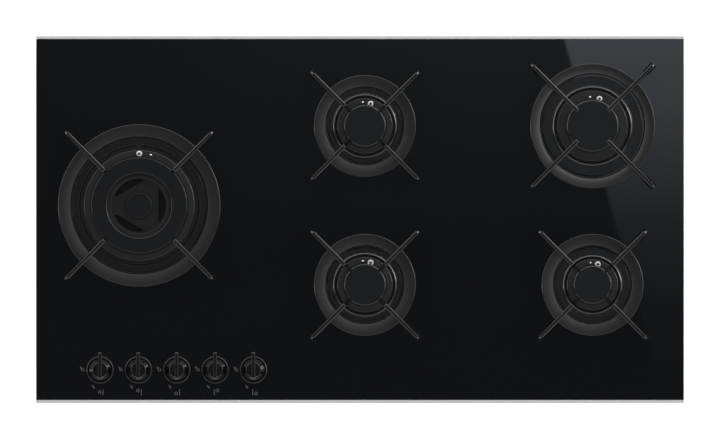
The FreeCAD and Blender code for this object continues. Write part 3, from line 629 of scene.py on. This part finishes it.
# -------------------------------------------------- burner cups
# Enamelled bowls that drop through the glass: a shoulder round the crown, a spill groove, a
# rounded bead and a flat flange on the glass. A bracket below carries each bowl.
CUP_SEAT = 7.0
CUP_GROOVE = 2.2
WOK_VALLEY = 2.8
WOK_RIM = 4.2
HOLE_RADIUS = 4.7             # hole for the electrode
HOLE_FLOOR = 3.2
CUP_BORE_STEP = 4.3           # the bore is this much smaller than the cap
CUP_SEAT_STEP = 2.2           # the flat seat ends this much outside the cap
CUP_NECK_STEP = 0.8           # the bowl under the glass is this much smaller than the bead
CUP_CREST = 4.4
CUP_FLANGE = 2.0
SHOULDER_SLOPE = 0.178
CUP_BOTTOM = -32.0
CUP_FLOOR = -26.0
CUP_SIZES = {                 # cap, shoulder, groove, bead and flange radius
    "wok_outer": (66.3, 76.0, 80.0, 85.2, 93.0),
    "centre_rear": (28.8, 37.6, 40.2, 43.8, 52.2),
    "centre_front": (28.8, 37.6, 40.2, 43.8, 52.2),
    "right_rear": (35.8, 48.0, 50.6, 54.8, 69.6),
    "right_front": (26.4, 34.8, 37.3, 40.6, 52.2),
}
IGNITION = {                  # electrode radius and azimuth, probe radius and azimuth
    "wok_outer": (71.8, 90.0, 71.8, 77.0),
    "centre_rear": (31.8, 75.5, 33.0, 95.0),
    "centre_front": (31.8, 75.5, 33.0, 95.0),
    "right_rear": (38.8, 75.5, 40.0, 95.0),
    "right_front": (29.4, 75.5, 30.6, 95.0),
}


def around_axis(centre, radius, azimuth):
    """Point beside an axis, from a radius in millimetres and an azimuth in degrees."""
    angle = math.radians(azimuth)
    return (centre[0] + radius * MM * math.cos(angle), centre[1] + radius * MM * math.sin(angle))


def cut_away(piece, cutter):
    """Takes the shape of a cutter out of the piece and deletes the cutter."""
    select_only(piece)
    cut = piece.modifiers.new("cut", "BOOLEAN")
    cut.operation = "DIFFERENCE"
    cut.solver = "EXACT"
    cut.object = cutter
    bpy.ops.object.modifier_apply(modifier=cut.name)
    bpy.data.objects.remove(cutter)


# The same black enamel as the caps', coloured lighter: the difference between the two is painted
# shade, not two glazes.
cup_enamel = enamel("cup enamel", (0.0052, 0.0054, 0.0056, 1.0), *ENAMEL_GLOSS, ENAMEL_GRAIN,
                    ENAMEL_DEPTH)
for burner, (cap, shoulder, groove, bead, flange) in CUP_SIZES.items():
    bore = cap - CUP_BORE_STEP
    seat = cap + CUP_SEAT_STEP
    neck = bead - CUP_NECK_STEP
    inner = [(bore, CUP_SEAT, 0), (seat, CUP_SEAT, 0.6),
             (shoulder, CUP_SEAT - SHOULDER_SLOPE * (shoulder - seat), 0.2)]
    if burner == "wok_outer":
        rim = [(shoulder + 0.3, WOK_VALLEY, 0), (groove + 1.6, WOK_VALLEY, 0.8),
               (bead - 1.5, WOK_RIM, 0.4), (bead + 1.6, WOK_RIM, 0)]
    else:
        rim = [(groove - 0.6, CUP_GROOVE, 0.6), (groove + 0.4, CUP_GROOVE, 0.6),
               (bead - 1.5, CUP_CREST, 0.3), (bead + 0.7, CUP_CREST - 1.4, 0.3)]
    cup = turned(burner + "_cup", (0.0, 0.0), inner + rim + [
        (bead + 1.7, CUP_FLANGE, 0), (flange, CUP_FLANGE, 1.1), (flange, 0.0, 0),
        (neck, 0.0, 0), (neck, CUP_BOTTOM, 1.0), (0, CUP_BOTTOM, 0), (0, CUP_FLOOR, 0),
        (bore, CUP_FLOOR, 1.0)])
    reach, azimuth = IGNITION[burner][:2]
    hole = turned("hole", around_axis((0.0, 0.0), reach, azimuth), [
        (0, HOLE_FLOOR, 0), (HOLE_RADIUS, HOLE_FLOOR, 0), (HOLE_RADIUS, CUP_SEAT + 1.0, 0),
        (0, CUP_SEAT + 1.0, 0)], 32)
    cut_away(cup, hole)
    cup.location = (*middle_of("cap_" + burner), 0.0)
    settle(cup, "hob", "cup_enamel", cup_enamel, "burner_cups")

# -------------------------------------------------- burner crowns
# Die-cast flame spreaders seated in the cups, with a row of flame ports round the edge. The wok
# crown also has a sloping inner band and a disc with three crescent slots.
CROWN_TOP = 16.4
WOK_LAND = 19.0
CROWN_STEP = 2.2              # the wall is this much smaller than the cap, the spigot once more
CROWN_WALL = 7.4
SPIGOT_DEPTH = 4.0
PORT_STEPS = 4                # faces of the turned wall for one port and its rib
PORT_SINK = 2.4
PORT_TOP = 0.8                # from the crown's top down to the ports
PORT_FOOT = 4.8
WALL_REACH = 0.4              # faces this near the wall's radius are the wall


def pick(piece, mode, wanted):
    """Selects the faces or edges of the edited mesh that pass a test."""
    bpy.ops.mesh.select_all(action="DESELECT")
    bpy.ops.mesh.select_mode(type=mode)
    mesh = bmesh.from_edit_mesh(piece.data)
    for part in mesh.faces if mode == "FACE" else mesh.edges:
        part.select_set(wanted(part))
    bmesh.update_edit_mesh(piece.data)


def sink_ports(piece, radius, low, high, count):
    """Pushes every port of the row into the wall of a turned piece that still is on its axis."""
    select_only(piece)
    bpy.ops.object.mode_set(mode="EDIT")
    pitch = math.tau / count

    def in_port(face):
        middle = face.calc_center_median()
        height = (middle.z - GLASS_LEVEL) / MM
        share = (math.atan2(middle.y, middle.x) % pitch) / pitch
        on_wall = abs(middle.xy.length / MM - radius) < WALL_REACH
        return on_wall and low < height < high and share < 0.5

    pick(piece, "FACE", in_port)
    bpy.ops.mesh.extrude_region_shrink_fatten(
        TRANSFORM_OT_shrink_fatten={"value": -PORT_SINK * MM})
    bpy.ops.object.mode_set(mode="OBJECT")


crown_metal = enamel("crown metal", (0.0056, 0.0055, 0.0054, 1.0), 0.16, 0.2, 900.0, 0.00001)
CROWN_PORTS = {"centre_rear": 36, "centre_front": 36, "right_rear": 44, "right_front": 32}
for burner, ports in CROWN_PORTS.items():
    wall = CUP_SIZES[burner][0] - CROWN_STEP
    spigot = wall - CROWN_STEP
    bore = spigot - CROWN_WALL
    crown = turned(burner + "_crown", (0.0, 0.0), [
        (bore, CROWN_TOP, 0), (wall, CROWN_TOP, 0), (wall, CROWN_TOP - PORT_TOP, 0),
        (wall, CROWN_TOP - PORT_FOOT, 0), (wall, CUP_SEAT, 0), (spigot, CUP_SEAT, 0),
        (spigot, CUP_SEAT - SPIGOT_DEPTH, 0), (bore, CUP_SEAT - SPIGOT_DEPTH, 0)],
        ports * PORT_STEPS)
    sink_ports(crown, wall, CROWN_TOP - PORT_FOOT, CROWN_TOP - PORT_TOP, ports)
    crown.location = (*middle_of("cap_" + burner), 0.0)
    settle(crown, "hob", "crown_alloy", crown_metal, "burner_crowns")

# The wok crown has the finish of the others, but its sloping inner band is painted lighter towards
# its outside: a painted sheen for the light that slope catches.
SHEEN_BAND_SPAN = (37.8, 44.8)   # radii of the band
PAINTED_SHEEN_STOPS = [(0.0, 0.0055), (0.05, 0.010), (0.45, 0.016), (0.6, 0.020), (0.97, 0.020),
                 (1.0, 0.0055)]
sheen_painted_crown_metal = crown_metal.copy()
sheen_painted_crown_metal.name = "wok crown metal with painted sheen"
nodes = sheen_painted_crown_metal.node_tree.nodes
links = sheen_painted_crown_metal.node_tree.links
place = nodes.new("ShaderNodeTexCoord")
from_axis = nodes.new("ShaderNodeVectorMath")
from_axis.operation = "SUBTRACT"
from_axis.inputs[1].default_value = (*middle_of("cap_wok_outer"), 0.0)
links.new(place.outputs["Object"], from_axis.inputs[0])
flatten = nodes.new("ShaderNodeVectorMath")
flatten.operation = "MULTIPLY"
flatten.inputs[1].default_value = (1.0, 1.0, 0.0)
links.new(from_axis.outputs[0], flatten.inputs[0])
reach = nodes.new("ShaderNodeVectorMath")
reach.operation = "LENGTH"
links.new(flatten.outputs[0], reach.inputs[0])
# Painted sheen: the band's colour rises from dark to lighter outwards and drops again at its outer
# edge.
painted_sheen = ramp_along(reach.outputs["Value"], *[edge * MM for edge in SHEEN_BAND_SPAN],
                     PAINTED_SHEEN_STOPS)
links.new(painted_sheen, nodes["Principled BSDF"].inputs["Base Color"])

WOK_WALL = 64.1
WOK_SPIGOT = 61.9
WOK_PORTS = 60
WOK_PORT_FOOT = 5.2
RISER_STEP = 0.8              # the wall outside the band stands this far from it
RISER_FOOT = 3.0
WOK_BODY_WALL = 12.0
DISC_TOP = 13.0
DISC_RADIUS = 38.0
BAND_OUTER = 44.6
BAND_DROP = 1.15
SLOTS = 3                     # crescents: an arc outside, a straight side inside
SLOT_SIDE = 26.7
SLOT_ARC = 36.4
SLOT_HALF = 22.0
SLOT_END = 0.6                # rounding of the slot corners, doubled on the straight side
SLOT_DEPTH = 8.0
ARC_STEPS = 12                # half of the steps of the arc
ARC_GAP = 3                   # steps left out beside each end, where the rounding comes
PIN_ROWS = ((43.5, 7), (41.9, 6))              # radius and count of small ports in a group
PIN_PITCH = 5.7
PIN_HOLE = 0.65
PIN_DEPTH = 2.6
PIN_SIDES = 8
crown = turned("wok_crown", (0.0, 0.0), [
    (0, CUP_SEAT, 0), (0, DISC_TOP, 0), (DISC_RADIUS, DISC_TOP, 0.6),
    (BAND_OUTER, DISC_TOP - BAND_DROP, 0.4), (BAND_OUTER, DISC_TOP - RISER_FOOT, 0),
    (BAND_OUTER + RISER_STEP, DISC_TOP - RISER_FOOT, 0), (BAND_OUTER + RISER_STEP, WOK_LAND, 0),
    (WOK_WALL, WOK_LAND, 0), (WOK_WALL, WOK_LAND - PORT_TOP, 0),
    (WOK_WALL, WOK_LAND - WOK_PORT_FOOT, 0), (WOK_WALL, CUP_SEAT, 0), (WOK_SPIGOT, CUP_SEAT, 0),
    (WOK_SPIGOT, CUP_SEAT - SPIGOT_DEPTH, 0),
    (WOK_SPIGOT - WOK_BODY_WALL, CUP_SEAT - SPIGOT_DEPTH, 0),
    (WOK_SPIGOT - WOK_BODY_WALL, CUP_SEAT, 0)],
    WOK_PORTS * PORT_STEPS)
sink_ports(crown, WOK_WALL, WOK_LAND - WOK_PORT_FOOT, WOK_LAND - PORT_TOP, WOK_PORTS)


def prism(name, points, along):
    """A flat outline of points in metres, drawn out along a vector."""
    clear_selection()
    bpy.ops.mesh.primitive_circle_add(vertices=len(points), fill_type="NGON")
    piece = bpy.context.object
    piece.name = name
    for vertex, point in zip(piece.data.vertices, points):
        vertex.co = point
    bpy.ops.object.mode_set(mode="EDIT")
    bpy.ops.mesh.select_all(action="SELECT")
    bpy.ops.mesh.extrude_region_move(TRANSFORM_OT_translate={"value": along})
    face_outwards()
    bpy.ops.object.mode_set(mode="OBJECT")
    return piece


swing = math.asin(SLOT_HALF / SLOT_ARC)
corners = []
for step in range(-ARC_STEPS, ARC_STEPS + 1):
    from_end = ARC_STEPS - abs(step)
    if from_end == 0 or from_end >= ARC_GAP:
        angle = swing * step / ARC_STEPS
        rounding = SLOT_END if from_end == 0 else 0
        corners.append((SLOT_ARC * math.cos(angle), SLOT_ARC * math.sin(angle), rounding))
corners += [(SLOT_SIDE, SLOT_HALF, 2 * SLOT_END), (SLOT_SIDE, -SLOT_HALF, 2 * SLOT_END)]
low = GLASS_LEVEL + (CUP_SEAT - 1.0) * MM
pins = []
for index in range(SLOTS):
    turn = Matrix.Rotation(math.tau * index / SLOTS, 3, "Z")
    flat = [turn @ Vector((x * MM, y * MM, low)) for x, y in rounded(corners)]
    cut_away(crown, prism("slot", flat, (0.0, 0.0, SLOT_DEPTH * MM)))
    for reach, count in PIN_ROWS:
        for port in range(count):
            azimuth = 360.0 / SLOTS * index + PIN_PITCH * (port - (count - 1) / 2)
            pins.append(turned("pin", around_axis((0.0, 0.0), reach, azimuth), [
                (0, DISC_TOP - PIN_DEPTH, 0), (PIN_HOLE, DISC_TOP - PIN_DEPTH, 0),
                (PIN_HOLE, DISC_TOP + 1.0, 0), (0, DISC_TOP + 1.0, 0)], PIN_SIDES))
select_only(*pins)
bpy.ops.object.join()
cut_away(crown, pins[0])
crown.location = (*middle_of("cap_wok_outer"), 0.0)
settle(crown, "hob", "crown_alloy", sheen_painted_crown_metal, "burner_crowns")

# -------------------------------------------------- electrodes and flame probes
# White ceramic insulators with a steel spark pin, and thin steel thermocouple tips. Both stand
# in holes of the cup shoulder, at the rear side of each burner.
IGNITION_FOOT = 5.0           # lower ends of insulator and probe, inside the shoulder
ELECTRODE_TOP = 11.5
ELECTRODE_RADIUS = 3.5
WELL_RADIUS = 1.9             # well round the pin
WELL_DEPTH = 2.0
PIN_SINK = 2.4                # the pin starts a little under the well's floor
PIN_RADIUS = 1.1
PIN_TOP = 14.0
PROBE_RADIUS = 1.6
PROBE_TOP = 11.0
ceramic, nodes, links, shader = new_finish("glazed ceramic")
shader.inputs["Roughness"].default_value = 0.22
place = nodes.new("ShaderNodeTexCoord")
soot = nodes.new("ShaderNodeTexNoise")
soot.inputs["Scale"].default_value = 500.0
links.new(place.outputs["Object"], soot.inputs["Vector"])
tone = nodes.new("ShaderNodeValToRGB")
tone.color_ramp.elements[0].position = 0.3
tone.color_ramp.elements[0].color = (0.50, 0.49, 0.46, 1.0)
tone.color_ramp.elements[1].position = 0.7
tone.color_ramp.elements[1].color = (0.66, 0.65, 0.62, 1.0)
links.new(soot.outputs["Fac"], tone.inputs["Fac"])
links.new(tone.outputs["Color"], shader.inputs["Base Color"])
steel = zinc_sheet("probe steel", (0.75, 0.75, 0.76), 1200.0)
# Painted dark reflection: the spark pin's steel is coloured nearly black for the dark surroundings
# it reflects.
pin_painted_dark = zinc_sheet("pin steel painted dark", (0.05, 0.05, 0.05), 1200.0)
for burner, (reach, azimuth, probe_reach, probe_azimuth) in IGNITION.items():
    centre = middle_of("cap_" + burner)
    spot = around_axis(centre, reach, azimuth)
    insulator = turned(burner + "_insulator", spot, [
        (0, IGNITION_FOOT, 0), (ELECTRODE_RADIUS, IGNITION_FOOT, 0),
        (ELECTRODE_RADIUS, ELECTRODE_TOP, 0.5), (WELL_RADIUS, ELECTRODE_TOP, 0.3),
        (WELL_RADIUS, ELECTRODE_TOP - WELL_DEPTH, 0), (0, ELECTRODE_TOP - WELL_DEPTH, 0)], 32)
    settle(insulator, "hob", "ceramic", ceramic, "spark_electrodes")
    pin = turned(burner + "_pin", spot, [
        (0, ELECTRODE_TOP - PIN_SINK, 0), (PIN_RADIUS, ELECTRODE_TOP - PIN_SINK, 0),
        (PIN_RADIUS, PIN_TOP, 0.4), (0, PIN_TOP, 0)], 16)
    settle(pin, "hob", "probe_steel", pin_painted_dark, "spark_electrodes")
    spot = around_axis(centre, probe_reach, probe_azimuth)
    probe = turned(burner + "_probe", spot, [
        (0, IGNITION_FOOT, 0), (PROBE_RADIUS, IGNITION_FOOT, 0), (PROBE_RADIUS, PROBE_TOP, 1.0),
        (0, PROBE_TOP, 0)], 20)
    settle(probe, "hob", "probe_steel", steel, "flame_probes")

# -------------------------------------------------- pan supports
# Cast iron under black enamel: a ring that slopes down towards the burner, and four upright
# blades that cross it. The blades stand on rubber feet.
PAN_LEVEL = 38.0
BLADE = 5.2
BLADE_DEPTH = 12.0
TIP_DEPTH = 8.0
NOSE_LENGTH = 8.0             # the deep part of a blade starts this far from its inner end
NOSE_ROUND = 1.4
HAUNCH = 5.0                  # length of the slopes down to the ring and the foot
BLADE_SINK = 1.0              # the ring covers the blade's foot by this much
TIP_OVER = 2.2
TIP_SLOPE = 3.2               # length of the sloping outer end
LEFT_EDGE = 1.5
RIGHT_EDGE = 1.15
EDGE_FALL = 0.54              # the edges of a blade fall this much per unit of width
CREST = 3.0                   # edges this near the pan level are rounded
RING_LOW = 4.0
RING_SKIRT = 1.4              # the inner wall of the ring leans in towards the cup
RING_TOP = 11.6
RING_BROW = (0.3, 10.65)      # share of the ring's width from outside, and height
RING_WAIST = (0.65, 9.4)
RING_INNER_TOP = 7.6
RING_STEPS = 160
DRAFT = 0.045                 # taper of the cast blades, wider towards the glass
SUPPORTS = {                  # ring inner and outer radius, blade inner and outer end
    "wok": (95.6, 112.4, 67.9, 142.0),
    "centre_rear": (54.8, 70.3, 39.0, 103.0),
    "centre_front": (54.8, 70.3, 39.0, 103.0),
    "right_rear": (73.0, 86.2, 29.0, 118.0),
    "right_front": (54.8, 70.3, 39.0, 103.0),
}
FOOT_LENGTH = 17.0
FOOT_WIDTH = 9.0
FOOT_HEIGHT = 8.0
FOOT_REACH = 2.6
FOOT_FLOOR = 3.0
RUBBER_SPECULAR = 0.08
CORNERS = (45, 135, 225, 315)


def joined(name, pieces):
    """Several modelled parts of one casting as one piece."""
    select_only(*pieces)
    bpy.ops.object.join()
    pieces[0].name = name
    return pieces[0]


def copied(piece, name):
    """A copy with a mesh of its own."""
    copy = piece.copy()
    copy.data = piece.data.copy()
    copy.name = name
    bpy.context.scene.collection.objects.link(copy)
    return copy


def round_edges(piece, wanted, width, segments):
    """Bevels the edges that pass a test."""
    select_only(piece)
    bpy.ops.object.mode_set(mode="EDIT")
    pick(piece, "EDGE", wanted)
    bpy.ops.mesh.bevel(offset=width * MM, segments=segments, affect="EDGES")
    bpy.ops.object.mode_set(mode="OBJECT")


support_enamel = enamel("support enamel", (0.0042, 0.0042, 0.0040, 1.0), 0.14, 0.17, 1100.0,
                        0.000004)
rubber = moulded("foot rubber", grey(0.0008), 0.75, 3000.0, MOULD_DEPTH)
rubber_shader = rubber.node_tree.nodes["Principled BSDF"]
rubber_shader.inputs["Specular IOR Level"].default_value = RUBBER_SPECULAR
for burner, (ring_inner, ring_outer, arm_inner, arm_outer) in SUPPORTS.items():
    node = "pan_support_" + burner
    centre = middle_of(node)
    width = ring_outer - ring_inner
    ring = turned(burner + "_ring", (0.0, 0.0), [
        (ring_inner, RING_LOW, 0.8), (ring_outer, RING_LOW, 0.8), (ring_outer, RING_TOP, 0.6),
        (ring_outer - RING_BROW[0] * width, RING_BROW[1], 0),
        (ring_outer - RING_WAIST[0] * width, RING_WAIST[1], 0),
        (ring_inner, RING_INNER_TOP, 0.8)], RING_STEPS)
    for vertex in ring.data.vertices:
        reach = vertex.co.xy.length
        if vertex.co.z < GLASS_LEVEL + (RING_LOW + 1.0) * MM and reach < (ring_inner + 2.0) * MM:
            vertex.co.xy *= (reach - RING_SKIRT * MM) / reach
    heel = arm_outer + FOOT_REACH - FOOT_LENGTH
    under = PAN_LEVEL - BLADE_DEPTH
    tip = arm_outer + TIP_OVER
    corners = [(arm_inner, PAN_LEVEL, NOSE_ROUND), (tip - TIP_SLOPE, PAN_LEVEL, 0.3),
               (tip, PAN_LEVEL - TIP_SLOPE * EDGE_FALL, 0.3),
               (tip, FOOT_FLOOR, 0), (heel, FOOT_FLOOR, 0), (heel, FOOT_HEIGHT, 0),
               (heel - HAUNCH, under, 3.0), (ring_outer + HAUNCH, under, 3.0),
               (ring_outer - BLADE_SINK, RING_LOW, 0), (ring_inner + BLADE_SINK, RING_LOW, 0),
               (ring_inner - HAUNCH, under, 1.2), (arm_inner + NOSE_LENGTH, under, 2.0),
               (arm_inner, PAN_LEVEL - TIP_DEPTH, 1.2)]
    flat = [(x * MM, -BLADE / 2 * MM, GLASS_LEVEL + z * MM) for x, z in rounded(corners)]
    blade = prism("blade", flat, (0.0, BLADE * MM, 0.0))
    for vertex in blade.data.vertices:
        below = GLASS_LEVEL + PAN_LEVEL * MM - vertex.co.z
        vertex.co.y += math.copysign(below * DRAFT, vertex.co.y)
    crest = GLASS_LEVEL + (PAN_LEVEL - CREST) * MM

    def left_crest(edge):
        return all(v.co.y > 0 and v.co.z > crest for v in edge.verts)

    def right_crest(edge):
        return all(v.co.y < 0 and v.co.z > crest for v in edge.verts)

    round_edges(blade, left_crest, LEFT_EDGE, 1)
    round_edges(blade, right_crest, RIGHT_EDGE, 1)
    for vertex in blade.data.vertices:
        below = GLASS_LEVEL + PAN_LEVEL * MM - vertex.co.z
        if abs(vertex.co.y) > (BLADE / 2 - 0.1) * MM and below < LEFT_EDGE * 1.1 * MM:
            vertex.co.z += below * (1.0 - EDGE_FALL)
        vertex.co.z = min(vertex.co.z, GLASS_LEVEL + PAN_LEVEL * MM)
    blades = []
    for azimuth in CORNERS:
        copy = copied(blade, "blade_" + str(azimuth))
        if azimuth in CORNERS[1::2]:
            copy.scale = (1, -1, 1)
        copy.rotation_euler = (0, 0, math.radians(azimuth))
        blades.append(copy)
    foot_box = [(heel, -FOOT_WIDTH / 2), (heel + FOOT_LENGTH, -FOOT_WIDTH / 2),
                (heel + FOOT_LENGTH, FOOT_WIDTH / 2), (heel, FOOT_WIDTH / 2)]
    flat = [(x * MM, y * MM, GLASS_LEVEL) for x, y in foot_box]
    foot = prism("foot", flat, (0.0, 0.0, FOOT_HEIGHT * MM))
    round_edges(foot, lambda edge: True, 0.8, 2)
    feet = []
    for azimuth in CORNERS:
        copy = copied(foot, "foot_" + str(azimuth))
        copy.rotation_euler = (0, 0, math.radians(azimuth))
        feet.append(copy)
    bpy.data.objects.remove(blade)
    bpy.data.objects.remove(foot)
    select_only(*blades, *feet)
    bpy.ops.object.transform_apply(location=True, rotation=True, scale=True)
    support = joined(burner + "_support", [ring] + blades)
    bpy.ops.object.mode_set(mode="EDIT")
    face_outwards()
    bpy.ops.object.mode_set(mode="OBJECT")
    support.location = (*centre, 0.0)
    settle(support, node, "support_enamel", support_enamel, node)
    pads = joined(burner + "_feet", feet)
    pads.location = (*centre, 0.0)
    settle(pads, node, "foot_rubber", rubber, "support_feet_" + burner)

# -------------------------------------------------- knobs and bezels
# Moulded black knobs pushed on the spindles: a tapered base with a lever bar across it. Each
# stands inside a low black ring on the glass.
KNOB_RADIUS = 15.1
KNOB_BASE = 3.8
KNOB_TOP = 13.0
SKIRT_EDGE = 15.0             # radii of the sloping skirt at its foot and at its top
SKIRT_TOP = 9.9
SKIRT_FALL = 7.0
LEVER_TOP = 23.0
LEVER_WIDTH = 4.9
LEVER_TAIL = -12.6
LEVER_NOSE = 24.6
LEVER_SLOPE = 1.6             # length of the sloping ends
LEVER_KEEL = 9.0
LEVER_SINK = 3.0              # the lever reaches this far into the base
LEVER_ROUND = 0.35
BEZEL_INNER = 16.3
BEZEL_OUTER = 18.9
BEZEL_TOP = 2.8
KNOB_STEPS = 96


def knob_axis(index):
    """Place of a knob's axis on the glass; its lever reaches out to the rear."""
    low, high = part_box("knob_" + str(index))
    return (low.x + high.x) / 2, low.y + KNOB_RADIUS * MM


knob_plastic = moulded("knob plastic", grey(0.0012), 0.16, MOULD_GRAIN, ENAMEL_DEPTH)
bezel_plastic = moulded("bezel plastic", grey(0.002), 0.16, MOULD_GRAIN, ENAMEL_DEPTH)
for index in KNOB_NUMBERS:
    node = "knob_" + str(index)
    bezel = turned("bezel_" + str(index), knob_axis(index), [
        (BEZEL_INNER, 0.0, 0), (BEZEL_OUTER, 0.0, 0), (BEZEL_OUTER, BEZEL_TOP, 1.2),
        (BEZEL_INNER, BEZEL_TOP, 0.8)], KNOB_STEPS)
    settle(bezel, "hob", "bezel_black", bezel_plastic, "knob_bezels")
    base = turned("knob_base", (0.0, 0.0), [
        (0, KNOB_BASE, 0), (KNOB_RADIUS, KNOB_BASE, 0.4),
        (SKIRT_EDGE, KNOB_TOP - SKIRT_FALL, 0.5), (SKIRT_TOP, KNOB_TOP, 0.4),
        (0, KNOB_TOP, 0)], KNOB_STEPS)
    corners = [(LEVER_TAIL, KNOB_TOP - LEVER_SINK, 0), (LEVER_TAIL, LEVER_TOP - LEVER_SLOPE, 0.8),
               (LEVER_TAIL + LEVER_SLOPE, LEVER_TOP, 1.2),
               (LEVER_NOSE - LEVER_SLOPE, LEVER_TOP, 0.5), (LEVER_NOSE, LEVER_TOP - 1.0, 0.5),
               (LEVER_NOSE, KNOB_TOP, 1.6), (LEVER_KEEL, KNOB_TOP - LEVER_SINK, 0)]
    flat = [(-LEVER_WIDTH / 2 * MM, y * MM, GLASS_LEVEL + z * MM) for y, z in rounded(corners)]
    lever = prism("lever", flat, (LEVER_WIDTH * MM, 0.0, 0.0))

    def lever_rim(edge):
        return (all(v.co.z > GLASS_LEVEL + (KNOB_TOP - 1.0) * MM for v in edge.verts)
                and abs(edge.verts[0].co.x - edge.verts[1].co.x) < 0.5 * MM)

    round_edges(lever, lever_rim, LEVER_ROUND, 2)
    knob = joined("knob_" + str(index) + "_grip", [base, lever])
    knob.location = (*knob_axis(index), 0.0)
    settle(knob, node, "knob_black", knob_plastic, node)

# -------------------------------------------------- printed marks
# Grey enamel fired on the glass: a large and a small flame beside every knob, and under it the
# place of its burner as a ring beside a bar. The ink lies almost flush with the glass.
INK = 0.03                    # thickness of the print
LINE = 1.1
FLAME = (-23.9, 0.0, 2.3, -28.2, 5.0)          # round end, its radius and the tip
SMALL_FLAME = (-8.6, -24.6, 1.3, -12.0, -20.3)
HOLLOW_TIP = (-25.9, 2.3)                      # tip of the hollow in the large flame
DROP_GAP = 65.0                                # half of the arc left open towards the tip
DROP_STEPS = 14
RING_SIDES = 32
BAR_LOW = -35.0
BAR_HIGH = -27.0
RING_RADIUS = 2.4
PLACES = {1: (-0.4, -31.1, 4.2), 2: (-0.6, -28.7, 4.1), 3: (-0.7, -32.7, 4.0),
          4: (3.3, -28.6, -1.0), 5: (3.3, -32.8, -1.0)}      # ring centre, bar
ink = moulded("printed grey", (0.036, 0.036, 0.040, 1.0), 0.5, MOULD_GRAIN, ENAMEL_DEPTH)


def drop(across, up, radius, tip_across, tip_up):
    """Outline of a flame: a round end and a tip."""
    lean = math.atan2(tip_up - up, tip_across - across)
    points = [(tip_across, tip_up)]
    for step in range(DROP_STEPS + 1):
        sweep = DROP_GAP + (360.0 - 2 * DROP_GAP) * step / DROP_STEPS
        angle = lean + math.radians(sweep)
        points.append((across + radius * math.cos(angle), up + radius * math.sin(angle)))
    return points


def printed(points, sink=0.0, height=INK):
    """A flat print on the glass from an outline, its foot sunk and its height in millimetres."""
    flat = [(x * MM, y * MM, GLASS_LEVEL - sink * MM) for x, y in points]
    return prism("print", flat, (0.0, 0.0, height * MM))


for index, (across, up, bar) in PLACES.items():
    flame = printed(drop(*FLAME))
    hollow = drop(*FLAME[:2], FLAME[2] - LINE, *HOLLOW_TIP)
    cut_away(flame, printed(hollow, INK, 3 * INK))
    small = printed(drop(*SMALL_FLAME))
    stroke = printed([(bar - LINE / 2, BAR_LOW), (bar + LINE / 2, BAR_LOW),
                      (bar + LINE / 2, BAR_HIGH), (bar - LINE / 2, BAR_HIGH)])
    ring = turned("ring", (across * MM, up * MM), [
        (RING_RADIUS - LINE, 0, 0), (RING_RADIUS, 0, 0), (RING_RADIUS, INK, 0),
        (RING_RADIUS - LINE, INK, 0)], RING_SIDES)
    select_only(ring)
    bpy.ops.object.transform_apply(location=True, rotation=True, scale=True)
    marks = joined("marks_" + str(index), [ring, flame, small, stroke])
    marks.location = (*knob_axis(index), 0.0)
    settle(marks, "hob", "black_glass", ink)
